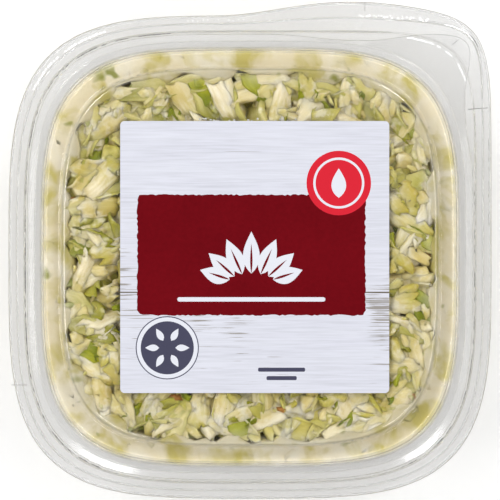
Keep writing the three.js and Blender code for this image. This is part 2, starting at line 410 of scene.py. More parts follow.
def ceiling(half, reach_in=0.0):
    """Height of the lid's underside over a rounded square of some half width."""
    edge = PANEL_HALF + reach_in
    to_groove = smoothstep(half, edge - 0.45 * MM, edge + 1.0 * MM)
    return PANEL_UNDER_Z + to_groove * (GROOVE_Z - PANEL_UNDER_Z) + reach_in


def touch(points):
    """How firmly points touch the pack's sheets, and how deep they lie under the panel."""
    x, y, z = points.T
    half = square_distance(x, y)
    wall = smoothstep(half - wall_half(z), -1.1 * MM, -0.1 * MM)
    groove = smoothstep(z - ceiling(half), -1.0 * MM, -0.1 * MM)
    groove *= smoothstep(half, PANEL_HALF - 0.8 * MM, PANEL_HALF + 0.2 * MM)
    base = smoothstep(-z, -1.2 * MM, -0.5 * MM)
    rim = smoothstep(half, PANEL_HALF - 6 * MM, PANEL_HALF - 0.6 * MM)
    rim *= 0.6 * smoothstep(z, PANEL_Z - 3.2 * MM, PANEL_Z - 0.6 * MM)
    # Painted shade: deep rises with the depth under the panel, and the cuts' colour is darkened to
    # olive by it
    deep = smoothstep(PANEL_Z - z, 2.4 * MM, 7.0 * MM) * (half < PANEL_HALF) * (z > TOP_PART_Z)
    return np.maximum.reduce((wall, groove, base, rim)), deep


def store(mesh, name, values):
    """Keep one number for each point of a mesh under a name."""
    layer = mesh.attributes.new(name, "FLOAT", "POINT")
    layer.data.foreach_set("value", np.asarray(values, dtype=np.float32))


# Cuts of cabbage and carrot

def wander(draw, size, terms=2):
    """A smooth random function of one number, about size high."""
    waves = [(draw.normal(0, size / (k + 1)), draw.uniform(0, 2 * math.pi), k + 1)
             for k in range(terms)]
    return lambda t: sum(a * np.sin(phase + 1.7 * k * t) for a, phase, k in waves)


def cut_mesh(name, draw, length, width, thickness, bend, cup, twist, ripple, edge, rows):
    """One cut: a bent, cupped and rounded chip with its length along X."""
    u, v = np.meshgrid(*rows, indexing="ij")
    narrow = 1 - draw.uniform(0.1, 0.5) * np.abs(u) ** draw.uniform(2, 4)
    narrow *= 1 + 0.35 * draw.uniform(-1, 1) * u
    torn = [draw.normal(0, 0.15, len(rows[0])) for _ in range(2)]
    side = np.where(v > 0, torn[0][:, None], torn[1][:, None]) + wander(draw, 0.08)(u)
    skew = draw.uniform(-0.35, 0.35) * width
    torn = [draw.normal(0, 0.13, len(rows[1])) for _ in range(2)]
    end = np.where(u > 0, torn[0][None, :], torn[1][None, :]) + wander(draw, 0.08)(v)
    x = 0.5 * length * u * (1 + end * np.abs(u)) + skew * v
    y = 0.5 * width * v * narrow * (1 + side)
    round_off = np.clip(1 - np.maximum(np.abs(u), np.abs(v)) ** edge, 0, 1) ** 0.5
    lean = 1 + draw.uniform(-0.45, 0.45) * v + draw.uniform(-0.4, 0.4) * u
    half = 0.5 * thickness * round_off * lean
    middle = cup * v ** 2 + ripple * np.sin(3.1 * u + draw.uniform(0, 6)) * v
    middle += ripple * 0.8 * np.sin(4.4 * v + draw.uniform(0, 6))
    turn = twist * u
    curl = bend * x / length
    shapes = []
    for sign in (1, -1):
        z = middle + sign * half * (1 + draw.normal(0, 0.16, u.shape))
        yy = y * np.cos(turn) - z * np.sin(turn)
        zz = y * np.sin(turn) + z * np.cos(turn)
        radius = length / bend if abs(bend) > 1e-3 else 1e3
        shapes.append(np.stack(((radius - zz) * np.sin(curl), yy,
                                radius - (radius - zz) * np.cos(curl)), axis=-1))
    return chip(name, shapes[0], shapes[1], u, v)


def chip(name, upper, lower, u, v):
    """Join an upper and a lower grid at their common edge into one closed mesh."""
    rows, columns = u.shape
    points, index = [], np.zeros((2, rows, columns), dtype=int)
    for i in range(rows):
        for j in range(columns):
            index[0, i, j] = len(points)
            points.append(upper[i, j])
            on_edge = i in (0, rows - 1) or j in (0, columns - 1)
            if on_edge:
                points[-1] = 0.5 * (upper[i, j] + lower[i, j])
                index[1, i, j] = index[0, i, j]
            else:
                index[1, i, j] = len(points)
                points.append(lower[i, j])
    faces, uvs = [], []
    for side in (0, 1):
        for i in range(rows - 1):
            for j in range(columns - 1):
                cell = [(i, j), (i + 1, j), (i + 1, j + 1), (i, j + 1)]
                cell = cell if side == 0 else cell[::-1]
                faces.append([int(index[side][c]) for c in cell])
                uvs += [(0.5 + 0.5 * u[c], 0.5 + 0.5 * v[c]) for c in cell]
    mesh = new_mesh(name, points, faces=faces)
    mesh.uv_layers.new(name="cut").data.foreach_set("uv", np.array(uvs).ravel())
    set_smooth(mesh)
    return bpy.data.objects.new(name, mesh)


CHIP_ROWS = ((-1, -0.9, -0.5, 0, 0.5, 0.9, 1), (-1, -0.82, -0.3, 0.3, 0.82, 1))
THIN_ROWS = ((-1, -0.66, -0.33, 0, 0.33, 0.66, 1), (-1, -0.5, 0, 0.5, 1))

# What each kind of cut looks like: ranges to draw from, lengths in mm, angles in radians
KINDS = {
    "rib": dict(length=(0.75, 1.3), width=(0.75, 1.25), thickness=(2.6, 4.8), bend=(-0.3, 1.0),
                cup=(-0.6, 1.6), twist=(-0.3, 0.3), ripple=(0.2, 0.6), edge=5, rows=CHIP_ROWS),
    "leaf": dict(length=(0.8, 1.35), width=(0.8, 1.6), thickness=(1.0, 1.8), bend=(-0.8, 1.4),
                 cup=(-1.4, 2.4), twist=(-0.6, 0.6), ripple=(0.4, 1.2), edge=7, rows=CHIP_ROWS),
    "green": dict(length=(0.5, 1.0), width=(0.4, 0.9), thickness=(0.6, 0.9), bend=(-0.6, 1.2),
                  cup=(-0.8, 1.2), twist=(-0.5, 0.5), ripple=(0.2, 0.7), edge=7, rows=CHIP_ROWS),
    "shred": dict(length=(0.5, 1.0), width=(0.14, 0.30), thickness=(0.9, 1.5), bend=(-1.2, 2.6),
                  cup=(0, 0.3), twist=(-0.9, 0.9), ripple=(0.0, 0.2), edge=5, rows=THIN_ROWS),
    "carrot": dict(length=(0.35, 0.8), width=(0.24, 0.42), thickness=(1.2, 2.0), bend=(-0.5, 0.8),
                   cup=(0, 0.1), twist=(-0.2, 0.2), ripple=(0.0, 0.05), edge=5, rows=THIN_ROWS),
}
SHAPES_PER_KIND = 9


def cut_shapes(kind, seed):
    """A collection of differing shapes of one kind of cut."""
    sizes = bpy.context.scene.coleslaw_salad
    draw = np.random.default_rng(seed)
    look = KINDS[kind]
    shapes = bpy.data.collections.new(f"{kind}_shapes")
    for i in range(SHAPES_PER_KIND):
        shapes.objects.link(cut_mesh(
            f"{kind}_shape_{i}", draw,
            length=sizes.cut_length * draw.uniform(*look["length"]),
            width=sizes.cut_width * draw.uniform(*look["width"]),
            thickness=MM * draw.uniform(*look["thickness"]),
            bend=draw.uniform(*look["bend"]),
            cup=MM * draw.uniform(*look["cup"]),
            twist=draw.uniform(*look["twist"]),
            ripple=MM * draw.uniform(*look["ripple"]),
            edge=look["edge"], rows=look["rows"]))
    return shapes


# Geometry Nodes

def node_tree(name, inputs):
    """A new modifier tree with a geometry input and output and the named inputs."""
    tree = bpy.data.node_groups.new(name, "GeometryNodeTree")
    tree.interface.new_socket("Geometry", in_out="INPUT", socket_type="NodeSocketGeometry")
    for label, kind in inputs:
        tree.interface.new_socket(label, in_out="INPUT", socket_type=f"NodeSocket{kind}")
    tree.interface.new_socket("Geometry", in_out="OUTPUT", socket_type="NodeSocketGeometry")
    source = tree.nodes.new("NodeGroupInput")
    return tree, source


def set_values(node, values):
    """Set a node's input values by name or number."""
    for key, value in values.items():
        node.inputs[key].default_value = value


def add_node(tree, kind, links=None, values=None, **settings):
    """A node with its settings, input values and links from other sockets."""
    node = tree.nodes.new(kind)
    for key, value in settings.items():
        setattr(node, key, value)
    set_values(node, values or {})
    for key, socket in (links or {}).items():
        tree.links.new(socket, node.inputs[key])
    return node


def random_value(tree, kind, seed, low=None, high=None, chance=None):
    """A random number, whole number, vector or yes or no for each point."""
    first, out = {"FLOAT": (2, 1), "INT": (4, 2), "FLOAT_VECTOR": (0, 0), "BOOLEAN": (0, 3)}[kind]
    node = add_node(tree, "FunctionNodeRandomValue", data_type=kind, links={"Seed": seed})
    for key, value in ((first, low), (first + 1, high), ("Probability", chance)):
        if isinstance(value, bpy.types.NodeSocket):
            tree.links.new(value, node.inputs[key])
        elif value is not None:
            node.inputs[key].default_value = value
    return node.outputs[out]


def combine(tree, x, y, z=0.0):
    """A vector of three numbers, of which the first two are sockets."""
    return add_node(tree, "ShaderNodeCombineXYZ", values={2: z}, links={0: x, 1: y}).outputs[0]


def scatter_tree():
    """Cuts strewn over a surface, each turned, tilted, lifted and sized at random."""
    tree, given = node_tree("Scatter cuts", [
        ("Shapes", "Collection"), ("Spacing", "Float"), ("Density", "Float"),
        ("Smallest", "Float"), ("Largest", "Float"), ("Tilt", "Float"), ("Lift", "Float"),
        ("Seed", "Int"), ("Material", "Material")])
    use = given.outputs
    spread = add_node(tree, "GeometryNodeDistributePointsOnFaces", distribute_method="POISSON",
                      links={"Mesh": use["Geometry"], "Distance Min": use["Spacing"],
                             "Density Max": use["Density"], "Seed": use["Seed"]})
    seed = use["Seed"]
    lifted = math_node(tree, "MULTIPLY", random_value(tree, "FLOAT", seed), use["Lift"])
    along = add_node(tree, "ShaderNodeVectorMath", operation="SCALE",
                     links={0: spread.outputs["Normal"], "Scale": lifted})
    places = add_node(tree, "GeometryNodeSetPosition",
                      links={"Geometry": spread.outputs["Points"], "Offset": along.outputs[0]})
    least = math_node(tree, "MULTIPLY", use["Tilt"], -1.0)
    turn = random_value(tree, "FLOAT_VECTOR", seed, combine(tree, least, least, -math.pi),
                        combine(tree, use["Tilt"], use["Tilt"], math.pi))
    spin = add_node(tree, "FunctionNodeEulerToRotation", links={0: turn})
    turned = add_node(tree, "FunctionNodeRotateRotation", rotation_space="LOCAL",
                      links={0: spread.outputs["Rotation"], 1: spin.outputs[0]})
    shapes = add_node(tree, "GeometryNodeCollectionInfo", transform_space="ORIGINAL",
                      values={"Separate Children": True, "Reset Children": True},
                      links={"Collection": use["Shapes"]})
    size = random_value(tree, "FLOAT", seed, use["Smallest"], use["Largest"])
    pick = random_value(tree, "INT", seed, 0, SHAPES_PER_KIND - 1)
    strewn = add_node(tree, "GeometryNodeInstanceOnPoints", values={"Pick Instance": True},
                      links={"Points": places.outputs[0], "Instance": shapes.outputs[0],
                             "Instance Index": pick, "Rotation": turned.outputs[0],
                             "Scale": size})
    tinted = add_node(tree, "GeometryNodeStoreNamedAttribute", data_type="FLOAT",
                      domain="INSTANCE", values={"Name": "tint"},
                      links={"Geometry": strewn.outputs[0],
                             "Value": random_value(tree, "FLOAT", seed)})
    return realized(tree, tinted, use["Material"])


def realized(tree, node, material):
    """End a tree: its instances made real, with their material."""
    real = add_node(tree, "GeometryNodeRealizeInstances", links={0: node.outputs[0]})
    done = add_node(tree, "GeometryNodeSetMaterial",
                    links={"Geometry": real.outputs[0], "Material": material})
    add_node(tree, "NodeGroupOutput", links={0: done.outputs[0]})
    return tree


def marks_tree():
    """Small squashed beads at random steps along a path."""
    tree, given = node_tree("Marks along a path", [
        ("Spacing", "Float"), ("Chance", "Float"), ("Scatter", "Float"), ("Size", "Vector"),
        ("Seed", "Int"), ("Material", "Material")])
    use = given.outputs
    curve = add_node(tree, "GeometryNodeMeshToCurve", links={"Mesh": use["Geometry"]})
    steps = add_node(tree, "GeometryNodeCurveToPoints", mode="LENGTH",
                     links={"Curve": curve.outputs[0], "Length": use["Spacing"]})
    seed = use["Seed"]
    back = math_node(tree, "MULTIPLY", use["Scatter"], -1.0)
    shift = random_value(tree, "FLOAT_VECTOR", seed, combine(tree, back, back),
                         combine(tree, use["Scatter"], use["Scatter"]))
    places = add_node(tree, "GeometryNodeSetPosition",
                      links={"Geometry": steps.outputs["Points"], "Offset": shift})
    turn = add_node(tree, "FunctionNodeAlignRotationToVector", axis="X", pivot_axis="Z",
                    links={"Vector": steps.outputs["Tangent"]})
    bead = add_node(tree, "GeometryNodeMeshUVSphere",
                    values={"Segments": 8, "Rings": 5, "Radius": 0.5})
    size = add_node(tree, "ShaderNodeVectorMath", operation="SCALE",
                    links={0: use["Size"], "Scale": random_value(tree, "FLOAT", seed, 0.6, 1.25)})
    keep = random_value(tree, "BOOLEAN", seed, chance=use["Chance"])
    strewn = add_node(tree, "GeometryNodeInstanceOnPoints",
                      links={"Points": places.outputs[0], "Selection": keep,
                             "Instance": bead.outputs[0], "Rotation": turn.outputs[0],
                             "Scale": size.outputs[0]})
    return realized(tree, strewn, use["Material"])


def run_tree(obj, tree, values):
    """The plain mesh that a tree makes of an object, with the modifier taken off again."""
    modifier = obj.modifiers.new(tree.name, "NODES")
    modifier.node_group = tree
    for item in tree.interface.items_tree:
        if item.in_out == "INPUT" and item.name in values:
            modifier[item.identifier] = values[item.name]
    bpy.context.view_layer.update()
    depsgraph = bpy.context.evaluated_depsgraph_get()
    mesh = bpy.data.meshes.new_from_object(obj.evaluated_get(depsgraph))
    obj.modifiers.remove(modifier)
    return mesh


# Where the cuts lie, and how far they reach into a sheet that they touch

REACH_IN = 0.12 * MM


def guide(name, corners, segments=64):
    """An open surface that cuts are strewn over, as a rounded-square band."""
    angles = directions(segments)
    points = np.concatenate([ring(corner, angles) for corner in corners]).tolist()
    return new_object(name, new_mesh(name, points, faces=band_faces(len(corners), segments)))


def guides():
    """Guide surfaces: the heap's lower and upper layer, the groove, the wall and the base."""
    low, high = GROOVE_Z - 0.2 * MM, PANEL_Z - 3.6 * MM
    inner = PANEL_HALF - 0.4 * MM
    wall = 1.1 * MM
    flat = lambda z: [Corner(inner, z), Corner(0.35 * inner, z), Corner(0.01 * MM, z)]
    return {
        "lower": guide("lower_layer", flat(low)),
        "upper": guide("upper_layer", flat(high)),
        "edge": guide("edge_band", [Corner(PANEL_HALF + 0.8 * MM, high + 1.2 * MM),
                                    Corner(PANEL_HALF - 4 * MM, high)]),
        "groove": guide("groove_band", [Corner(wall_half(GROOVE_Z) - 1 * MM, GROOVE_Z - 0.7 * MM),
                                        Corner(PANEL_HALF - 1 * MM, GROOVE_Z - 0.7 * MM)]),
        "wall": guide("wall_band", [Corner(wall_half(5 * MM) - wall, 5 * MM),
                                    Corner(wall_half(GROOVE_Z) - wall, GROOVE_Z - 1.5 * MM)]),
        "base": guide("base_band", [Corner(0.01 * MM, 1.6 * MM),
                                    Corner(FOOT_HALF, 1.6 * MM)]),
    }


def join_meshes(name, meshes):
    """Several meshes as one object, with their cut and tint attributes kept."""
    parts = [new_object(name, mesh) for mesh in meshes if len(mesh.vertices)]
    with bpy.context.temp_override(active_object=parts[0], selected_editable_objects=parts):
        bpy.ops.object.join()
    parts[0].data.name = name
    return parts[0]


def settle(cuts, under_panel):
    """Move whole cuts inside the pack, to one side of the panel's edge or the other."""
    x, y, z = np.moveaxis(cuts, 2, 0).copy()
    half = square_distance(x, y)
    over = (half - wall_half(z)).max(axis=1, keepdims=True)
    middle_x, middle_y = x.mean(axis=1, keepdims=True), y.mean(axis=1, keepdims=True)
    away = np.maximum(np.hypot(middle_x, middle_y), 1e-6)
    inward = 0.85 * np.maximum(over, 0)
    if under_panel:
        outside = half.mean(axis=1, keepdims=True) > PANEL_HALF + 1.5 * MM
        z -= np.where(outside, PANEL_Z - GROOVE_Z, 0.0)
        across = np.maximum(half.max(axis=1, keepdims=True) - PANEL_HALF + 0.2 * MM, 0)
        inward = np.where(outside, inward, across / 0.9)
    x -= inward * middle_x / away
    y -= inward * middle_y / away
    z += np.maximum(FLOOR_TOP - z.min(axis=1, keepdims=True), 0)
    over = (z - ceiling(square_distance(x, y))).max(axis=1, keepdims=True)
    z -= 0.8 * np.maximum(over, 0)
    return np.stack((x, y, z), axis=2)


def press_mesh(mesh, points_each, under_panel):
    """Press the cuts of a mesh into the pack."""
    cuts = settle(read_points(mesh).reshape(-1, points_each, 3), under_panel)
    points = press_inside(cuts.reshape(-1, 3), REACH_IN, 0.2 * MM)
    mesh.vertices.foreach_set("co", points.ravel())
    set_smooth(mesh)
    smear, deep = touch(points)
    store(mesh, "smear", smear)
    # Depth under the panel, for the painted shade in the cuts' colour
    store(mesh, "deep", deep)
    mesh.update()


# Most cuts on a square metre, and the guides that lie under the lid's raised panel
MOST_PER_AREA = 90000.0
UNDER_PANEL = ("lower", "upper", "edge")

# How many cuts of a kind lie on each guide: spacing factor, tilt in radians, lift in mm
LAYERS = {
    "rib": {"lower": (1.15, 0.45, 1.6), "upper": (1.45, 0.6, 1.2), "edge": (1.3, 0.25, 0.6),
            "groove": (2.2, 0.12, 0.2),
            "wall": (1.45, 0.35, 0.2), "base": (1.7, 0.3, 0.2)},
    "leaf": {"lower": (1.6, 0.6, 2.0), "upper": (2.3, 0.7, 1.2), "edge": (1.6, 0.25, 0.6),
             "groove": (2.6, 0.12, 0.2),
             "wall": (1.8, 0.4, 0.4), "base": (2.0, 0.3, 0.4)},
    "green": {"lower": (2.6, 0.5, 2.4), "upper": (3.2, 0.6, 0.5), "edge": (2.8, 0.25, 0.6),
              "groove": (7.0, 0.12, 0.3),
              "wall": (4.4, 0.4, 0.2), "base": (5.5, 0.3, 0.2)},
    "shred": {"lower": (2.1, 0.5, 3.0), "upper": (2.8, 0.5, 1.6), "edge": (2.4, 0.25, 0.6),
              "groove": (3.0, 0.12, 0.2),
              "wall": (2.4, 0.3, 0.2), "base": (3.0, 0.2, 0.2)},
    "carrot": {"lower": (4.6, 0.4, 2.2), "upper": (6.5, 0.5, 0.5), "groove": (9.0, 0.12, 0.3),
               "wall": (6.5, 0.3, 0.2), "base": (8.0, 0.2, 0.2)},
}


def make_cuts(kind, material, offset):
    """All cuts of one kind, strewn, pressed into the pack and joined in one piece."""
    sizes = bpy.context.scene.coleslaw_salad
    tree = bpy.data.node_groups.get("Scatter cuts") or scatter_tree()
    shapes = cut_shapes(kind, sizes.seed * 100 + offset)
    surfaces = guides()
    meshes = []
    for layer, (spacing, tilt, lift) in LAYERS[kind].items():
        mesh = run_tree(surfaces[layer], tree, {
            "Shapes": shapes, "Spacing": sizes.spacing * spacing, "Density": MOST_PER_AREA,
            "Smallest": 0.75, "Largest": 1.3, "Tilt": tilt, "Lift": lift * MM,
            "Seed": sizes.seed + offset + 7 * len(meshes), "Material": material})
        points_each = len(shapes.objects[0].data.vertices)
        press_mesh(mesh, points_each, layer in UNDER_PANEL)
        meshes.append(mesh)
    for surface in surfaces.values():
        bpy.data.objects.remove(surface)
    finish_piece(join_meshes(kind, meshes), material, "salad", "coleslaw")


# Marks in the sheet and drops under the lid

# Each run of marks: profile corner, first and last direction in degrees, spacing, chance,
# scatter, and length, width and height of a mark in mm
# Knurls and bright steps in the sheet, drawn as glowing white beads: painted glints in place of
# the lamps' reflections in them
KNURL_GLINTS = (
    (Corner(RIM_OUTER_HALF + 0.8 * MM, LEDGE_Z), 123, 143, 1.15, 0.9, 0.12, (1.0, 0.6, 0.3)),
    (Corner(RIM_OUTER_HALF + 1.2 * MM, LEDGE_Z), 69, 107, 1.5, 0.45, 0.25, (0.5, 0.3, 0.15)),
    (Corner(RIM_OUTER_HALF + 0.4 * MM, LEDGE_Z, tab=RIM_OUTER_TAB, bulge=0.55),
     59.5, 65.5, 0.6, 0.8, 0.35, (0.6, 0.45, 0.25)),
    (Corner(RIM_OUTER_HALF + 0.4 * MM, LEDGE_Z, tab=RIM_OUTER_TAB, bulge=0.55),
     53, 58, 0.55, 0.8, 0.45, (0.6, 0.45, 0.25)),
    (Corner(RIM_OUTER_HALF + 0.1 * MM, LEDGE_Z, tab=RIM_OUTER_TAB, bulge=0.45),
     44, 50, 0.7, 0.85, 0.1, (1.0, 0.35, 0.2)),
    (Corner(RIM_INNER_HALF - 0.8 * MM, SEAT_Z + 1.4 * MM, tab=RIM_INNER_TAB),
     39.5, 54, 0.9, 0.85, 0.12, (1.3, 0.35, 0.15)),
)
# The first two runs are dark dashes along the lid's edge: painted shade in place of the dark
# refraction there. The last run and the cut lines below are slits.
SLITS_AND_EDGE_SHADE = (
    (Corner(RIM_INNER_HALF - 0.1 * MM, RIM_Z - 0.3 * MM), 110, 235, 1.4, 0.6, 0.0,
     (1.5, 0.24, 0.1)),
    (Corner(RIM_INNER_HALF - 0.1 * MM, RIM_Z - 0.3 * MM), 305, 378, 1.4, 0.5, 0.0,
     (1.5, 0.22, 0.1)),
    (Corner(FLANGE_HALF - 1.0 * MM, LEDGE_Z - 0.1 * MM, tab=FLANGE_TAB, bulge=1),
     8, 26, 0.8, 0.7, 0.05, (0.9, 0.14, 0.1)),
)

# Short slits in the ledge: both ends in mm
CUT_LINES = (((65.4, 44.0), (70.8, 44.4)), ((-71.0, -38.1), (-66.9, -38.1)),
             ((34.2, 73.6), (34.2, 75.4)), ((60.4, 63.4), (62.0, 64.6)))


def path(name, points):
    """An open run of points joined by edges."""
    steps = [(i, i + 1) for i in range(len(points) - 1)]
    return new_object(name, new_mesh(name, points, steps))


def along_ring(corner, first, last, steps=48):
    """Points of a profile corner between two directions in degrees."""
    return ring(corner, np.radians(np.linspace(first, last, steps)))


def make_marks(name, runs, material, seed):
    """One mesh object of all marks along some runs of points."""
    tree = bpy.data.node_groups.get("Marks along a path") or marks_tree()
    meshes = []
    for points, spacing, chance, scatter, size in runs:
        line = path(name, points)
        meshes.append(run_tree(line, tree, {
            "Spacing": spacing * MM, "Chance": chance, "Scatter": scatter * MM,
            "Size": Vector(size) * MM, "Seed": seed + len(meshes), "Material": material}))
        bpy.data.objects.remove(line)
    obj = join_meshes(name, meshes)
    set_smooth(obj.data)
    obj.data.polygons.foreach_set("material_index", [0] * len(obj.data.polygons))
    return obj


# Shader helpers

PURE_WHITE = (1.0, 1.0, 1.0, 1.0)


def new_material(name):
    """A material with a Principled BSDF and an empty tree round it."""
    material = bpy.data.materials.new(name)
    material.use_nodes = True
    tree = material.node_tree
    return material, tree, tree.nodes["Principled BSDF"]


def shader_group(name, inputs, outputs):
    """A new shader group, the sockets it is given and the sockets it puts out."""
    tree = bpy.data.node_groups.new(name, "ShaderNodeTree")
    for label, kind, value in inputs:
        socket = tree.interface.new_socket(label, in_out="INPUT", socket_type=f"NodeSocket{kind}")
        socket.default_value = value
    for label, kind in outputs:
        tree.interface.new_socket(label, in_out="OUTPUT", socket_type=f"NodeSocket{kind}")
    return tree, tree.nodes.new("NodeGroupInput").outputs, tree.nodes.new("NodeGroupOutput").inputs


def mix_colour(tree, factor, first, second, blend="MIX"):
    """A colour mix. Each of factor, first and second is a socket or a value."""
    node = tree.nodes.new("ShaderNodeMix")
    node.data_type = "RGBA"
    node.blend_type = blend
    for socket, value in zip((node.inputs[0], node.inputs[6], node.inputs[7]),
                             (factor, first, second)):
        if isinstance(value, bpy.types.NodeSocket):
            tree.links.new(value, socket)
        elif isinstance(value, (int, float)):
            socket.default_value = value
        else:
            socket.default_value = (*value[:3], 1.0)
    return node.outputs[2]


def math_node(tree, operation, first, second=0.0, clamp=False):
    """Arithmetic on two sockets or values."""
    node = tree.nodes.new("ShaderNodeMath")
    node.operation = operation
    node.use_clamp = clamp
    for socket, value in zip(node.inputs, (first, second)):
        if isinstance(value, bpy.types.NodeSocket):
            tree.links.new(value, socket)
        else:
            socket.default_value = value
    return node.outputs[0]


def map_range(tree, value, low, high, to_low=0.0, to_high=1.0):
    """A value clamped to one range and spread over another."""
    node = add_node(tree, "ShaderNodeMapRange",
                    values={1: low, 2: high, 3: to_low, 4: to_high}, links={0: value})
    return node.outputs[0]


def noise(tree, coordinates, scale, detail=3.0, roughness=0.5, distortion=0.0):
    node = add_node(tree, "ShaderNodeTexNoise", links={"Vector": coordinates},
                    values={"Scale": scale, "Detail": detail, "Roughness": roughness,
                            "Distortion": distortion})
    return node.outputs[0]


def object_place(tree):
    return tree.nodes.new("ShaderNodeTexCoord").outputs["Object"]


def mapped(tree, place, **values):
    """Coordinates moved, turned and scaled."""
    return add_node(tree, "ShaderNodeMapping", links={"Vector": place},
                    values={key.title(): value for key, value in values.items()}).outputs[0]


def dressing_group():
    """Where a film of dressing lies on a cut, and how high it stands."""
    name = "Dressing film"
    if name in bpy.data.node_groups:
        return bpy.data.node_groups[name]
    tree, given, out = shader_group(
        name, [("Amount", "Float", 0.5), ("Patch", "Float", 220.0)],
        [("Film", "Float"), ("Height", "Float")])
    place = object_place(tree)
    patch = add_node(tree, "ShaderNodeTexNoise", values={"Detail": 3.0, "Roughness": 0.55},
                     links={"Vector": place, "Scale": given["Patch"]}).outputs[0]
    least = math_node(tree, "SUBTRACT", 0.72, math_node(tree, "MULTIPLY", given["Amount"], 0.42))
    over = math_node(tree, "SUBTRACT", patch, least)
    film = math_node(tree, "MULTIPLY", over, 7.0, clamp=True)
    fine = noise(tree, place, 900.0, 2.0)
    height = math_node(tree, "ADD", math_node(tree, "MULTIPLY", film, 0.8),
                       math_node(tree, "MULTIPLY", fine, 0.25))
    tree.links.new(film, out["Film"])
    tree.links.new(height, out["Height"])
    return tree


def fibre_group():
    """Fine ribs along a cut, from the cut's own map."""
    name = "Cabbage fibres"
    if name in bpy.data.node_groups:
        return bpy.data.node_groups[name]
    tree, given, out = shader_group(name, [("Count", "Float", 9.0)],
                                    [("Fibre", "Float"), ("End", "Float")])
    place = add_node(tree, "ShaderNodeUVMap", uv_map="cut").outputs[0]
    parts = add_node(tree, "ShaderNodeSeparateXYZ", links={0: place})
    tint = attribute(tree, "tint")
    across = math_node(tree, "MULTIPLY", parts.outputs[1], given["Count"])
    across = math_node(tree, "ADD", across, math_node(tree, "MULTIPLY", tint, 31.0))
    along = math_node(tree, "MULTIPLY", parts.outputs[0], 1.6)
    spot = add_node(tree, "ShaderNodeCombineXYZ", links={0: along, 1: across, 2: tint})
    fibre = noise(tree, spot.outputs[0], 1.0, 3.0, 0.6)
    tree.links.new(fibre, out["Fibre"])
    wave = math_node(tree, "MULTIPLY", fibre, 0.35)
    end = map_range(tree, math_node(tree, "ADD", parts.outputs[0], wave), 0.55, 1.15)
    keen = map_range(tree, tint, 0.15, 0.6, 0.2, 1.0)
    tree.links.new(math_node(tree, "MULTIPLY", end, keen), out["End"])
    return tree


def smear_group():
    """Colour of what is pressed flat against the pack: dressing with soft patches."""
    name = "Pressed smear"
    if name in bpy.data.node_groups:
        return bpy.data.node_groups[name]
    tree, given, out = shader_group(
        name, [("Dressing", "Color", (0.9, 0.8, 0.6, 1)), ("Leaf", "Color", (0.6, 0.6, 0.3, 1))],
        [("Color", "Color"), ("Cover", "Float")])
    place = object_place(tree)
    broad = map_range(tree, noise(tree, place, 75.0, 3.0, 0.55, 0.6), 0.40, 0.62)
    beige = mix_colour(tree, broad, given["Dressing"], (0.78, 0.70, 0.50))
    moved = mapped(tree, place, location=(0.3, 0.1, 0.2))
    leafy = map_range(tree, noise(tree, moved, 95.0, 3.0, 0.55, 0.4), 0.48, 0.64, 0.0, 0.85)
    patched = mix_colour(tree, leafy, beige, given["Leaf"])
    speck = map_range(tree, noise(tree, moved, 120.0, 2.0, 0.5, 0.3), 0.66, 0.74, 0.0, 0.85)
    tree.links.new(mix_colour(tree, speck, patched, (0.22, 0.24, 0.01)), out["Color"])
    cover = map_range(tree, noise(tree, moved, 60.0, 2.0), 0.30, 0.60, 0.7, 0.98)
    tree.links.new(cover, out["Cover"])
    return tree


def attribute(tree, name):
    """A number kept for each point of the mesh."""
    return add_node(tree, "ShaderNodeAttribute", attribute_name=name).outputs["Fac"]


def wet_shader(shader, glow, radius):
    """Constants of the wet, translucent look that all of the salad shares."""
    set_values(shader, {
        "Subsurface Weight": glow, "Subsurface Radius": (1.0, 0.93, 0.75),
        "Subsurface Scale": radius, "Coat Weight": 0.1, "Coat Roughness": 0.15, "IOR": 1.36,
        "Specular IOR Level": 0.3})


def cut_material(name, colour, deep, film, tint_to, end_to, roughness=0.36, glow=0.6):
    """A wet cut of vegetable, partly under a film of dressing."""
    colours = bpy.context.scene.coleslaw_colours
    material, tree, shader = new_material(name)
    place = object_place(tree)
    fibre, end = add_node(tree, "ShaderNodeGroup", node_tree=fibre_group()).outputs
    coat = add_node(tree, "ShaderNodeGroup", node_tree=dressing_group(), values={"Amount": film})
    base = mix_colour(tree, attribute(tree, "tint"), colour, tint_to)
    base = mix_colour(tree, end, base, end_to)
    cloud = map_range(tree, noise(tree, place, 110.0, 2.0), 0.40, 0.72)
    base = mix_colour(tree, cloud, base, deep)
    veins = map_range(tree, fibre, 0.42, 0.72, 0.0, 0.5)
    base = mix_colour(tree, veins, base, deep)
    base = mix_colour(tree, math_node(tree, "MULTIPLY", coat.outputs["Film"], 0.6),
                      base, colours.dressing)
    # Painted shade: cuts that lie deeper under the panel are darkened towards olive, as by the
    # shade between them, with a little of the olive of juice
    shade = math_node(tree, "MULTIPLY", attribute(tree, "deep"), 0.9)
    base = mix_colour(tree, shade, base, (0.34, 0.27, 0.01), "MULTIPLY")
    smear = add_node(tree, "ShaderNodeGroup", node_tree=smear_group(),
                     values={"Dressing": (*colours.dressing, 1), "Leaf": (*colours.leaf, 1)})
    cover = math_node(tree, "MULTIPLY", attribute(tree, "smear"), smear.outputs["Cover"])
    base = mix_colour(tree, cover, base, smear.outputs["Color"])
    tree.links.new(base, shader.inputs["Base Color"])
    height = math_node(tree, "ADD", coat.outputs["Height"],
                       math_node(tree, "MULTIPLY", fibre, 0.5))
    bump = add_node(tree, "ShaderNodeBump", values={"Strength": 0.4, "Distance": 0.3 * MM},
                    links={"Height": height})
    tree.links.new(bump.outputs[0], shader.inputs["Normal"])
    rough = map_range(tree, coat.outputs["Film"], 0.0, 1.0, roughness, roughness - 0.12)
    tree.links.new(rough, shader.inputs["Roughness"])
    wet_shader(shader, glow, 2.2 * MM)
    return material


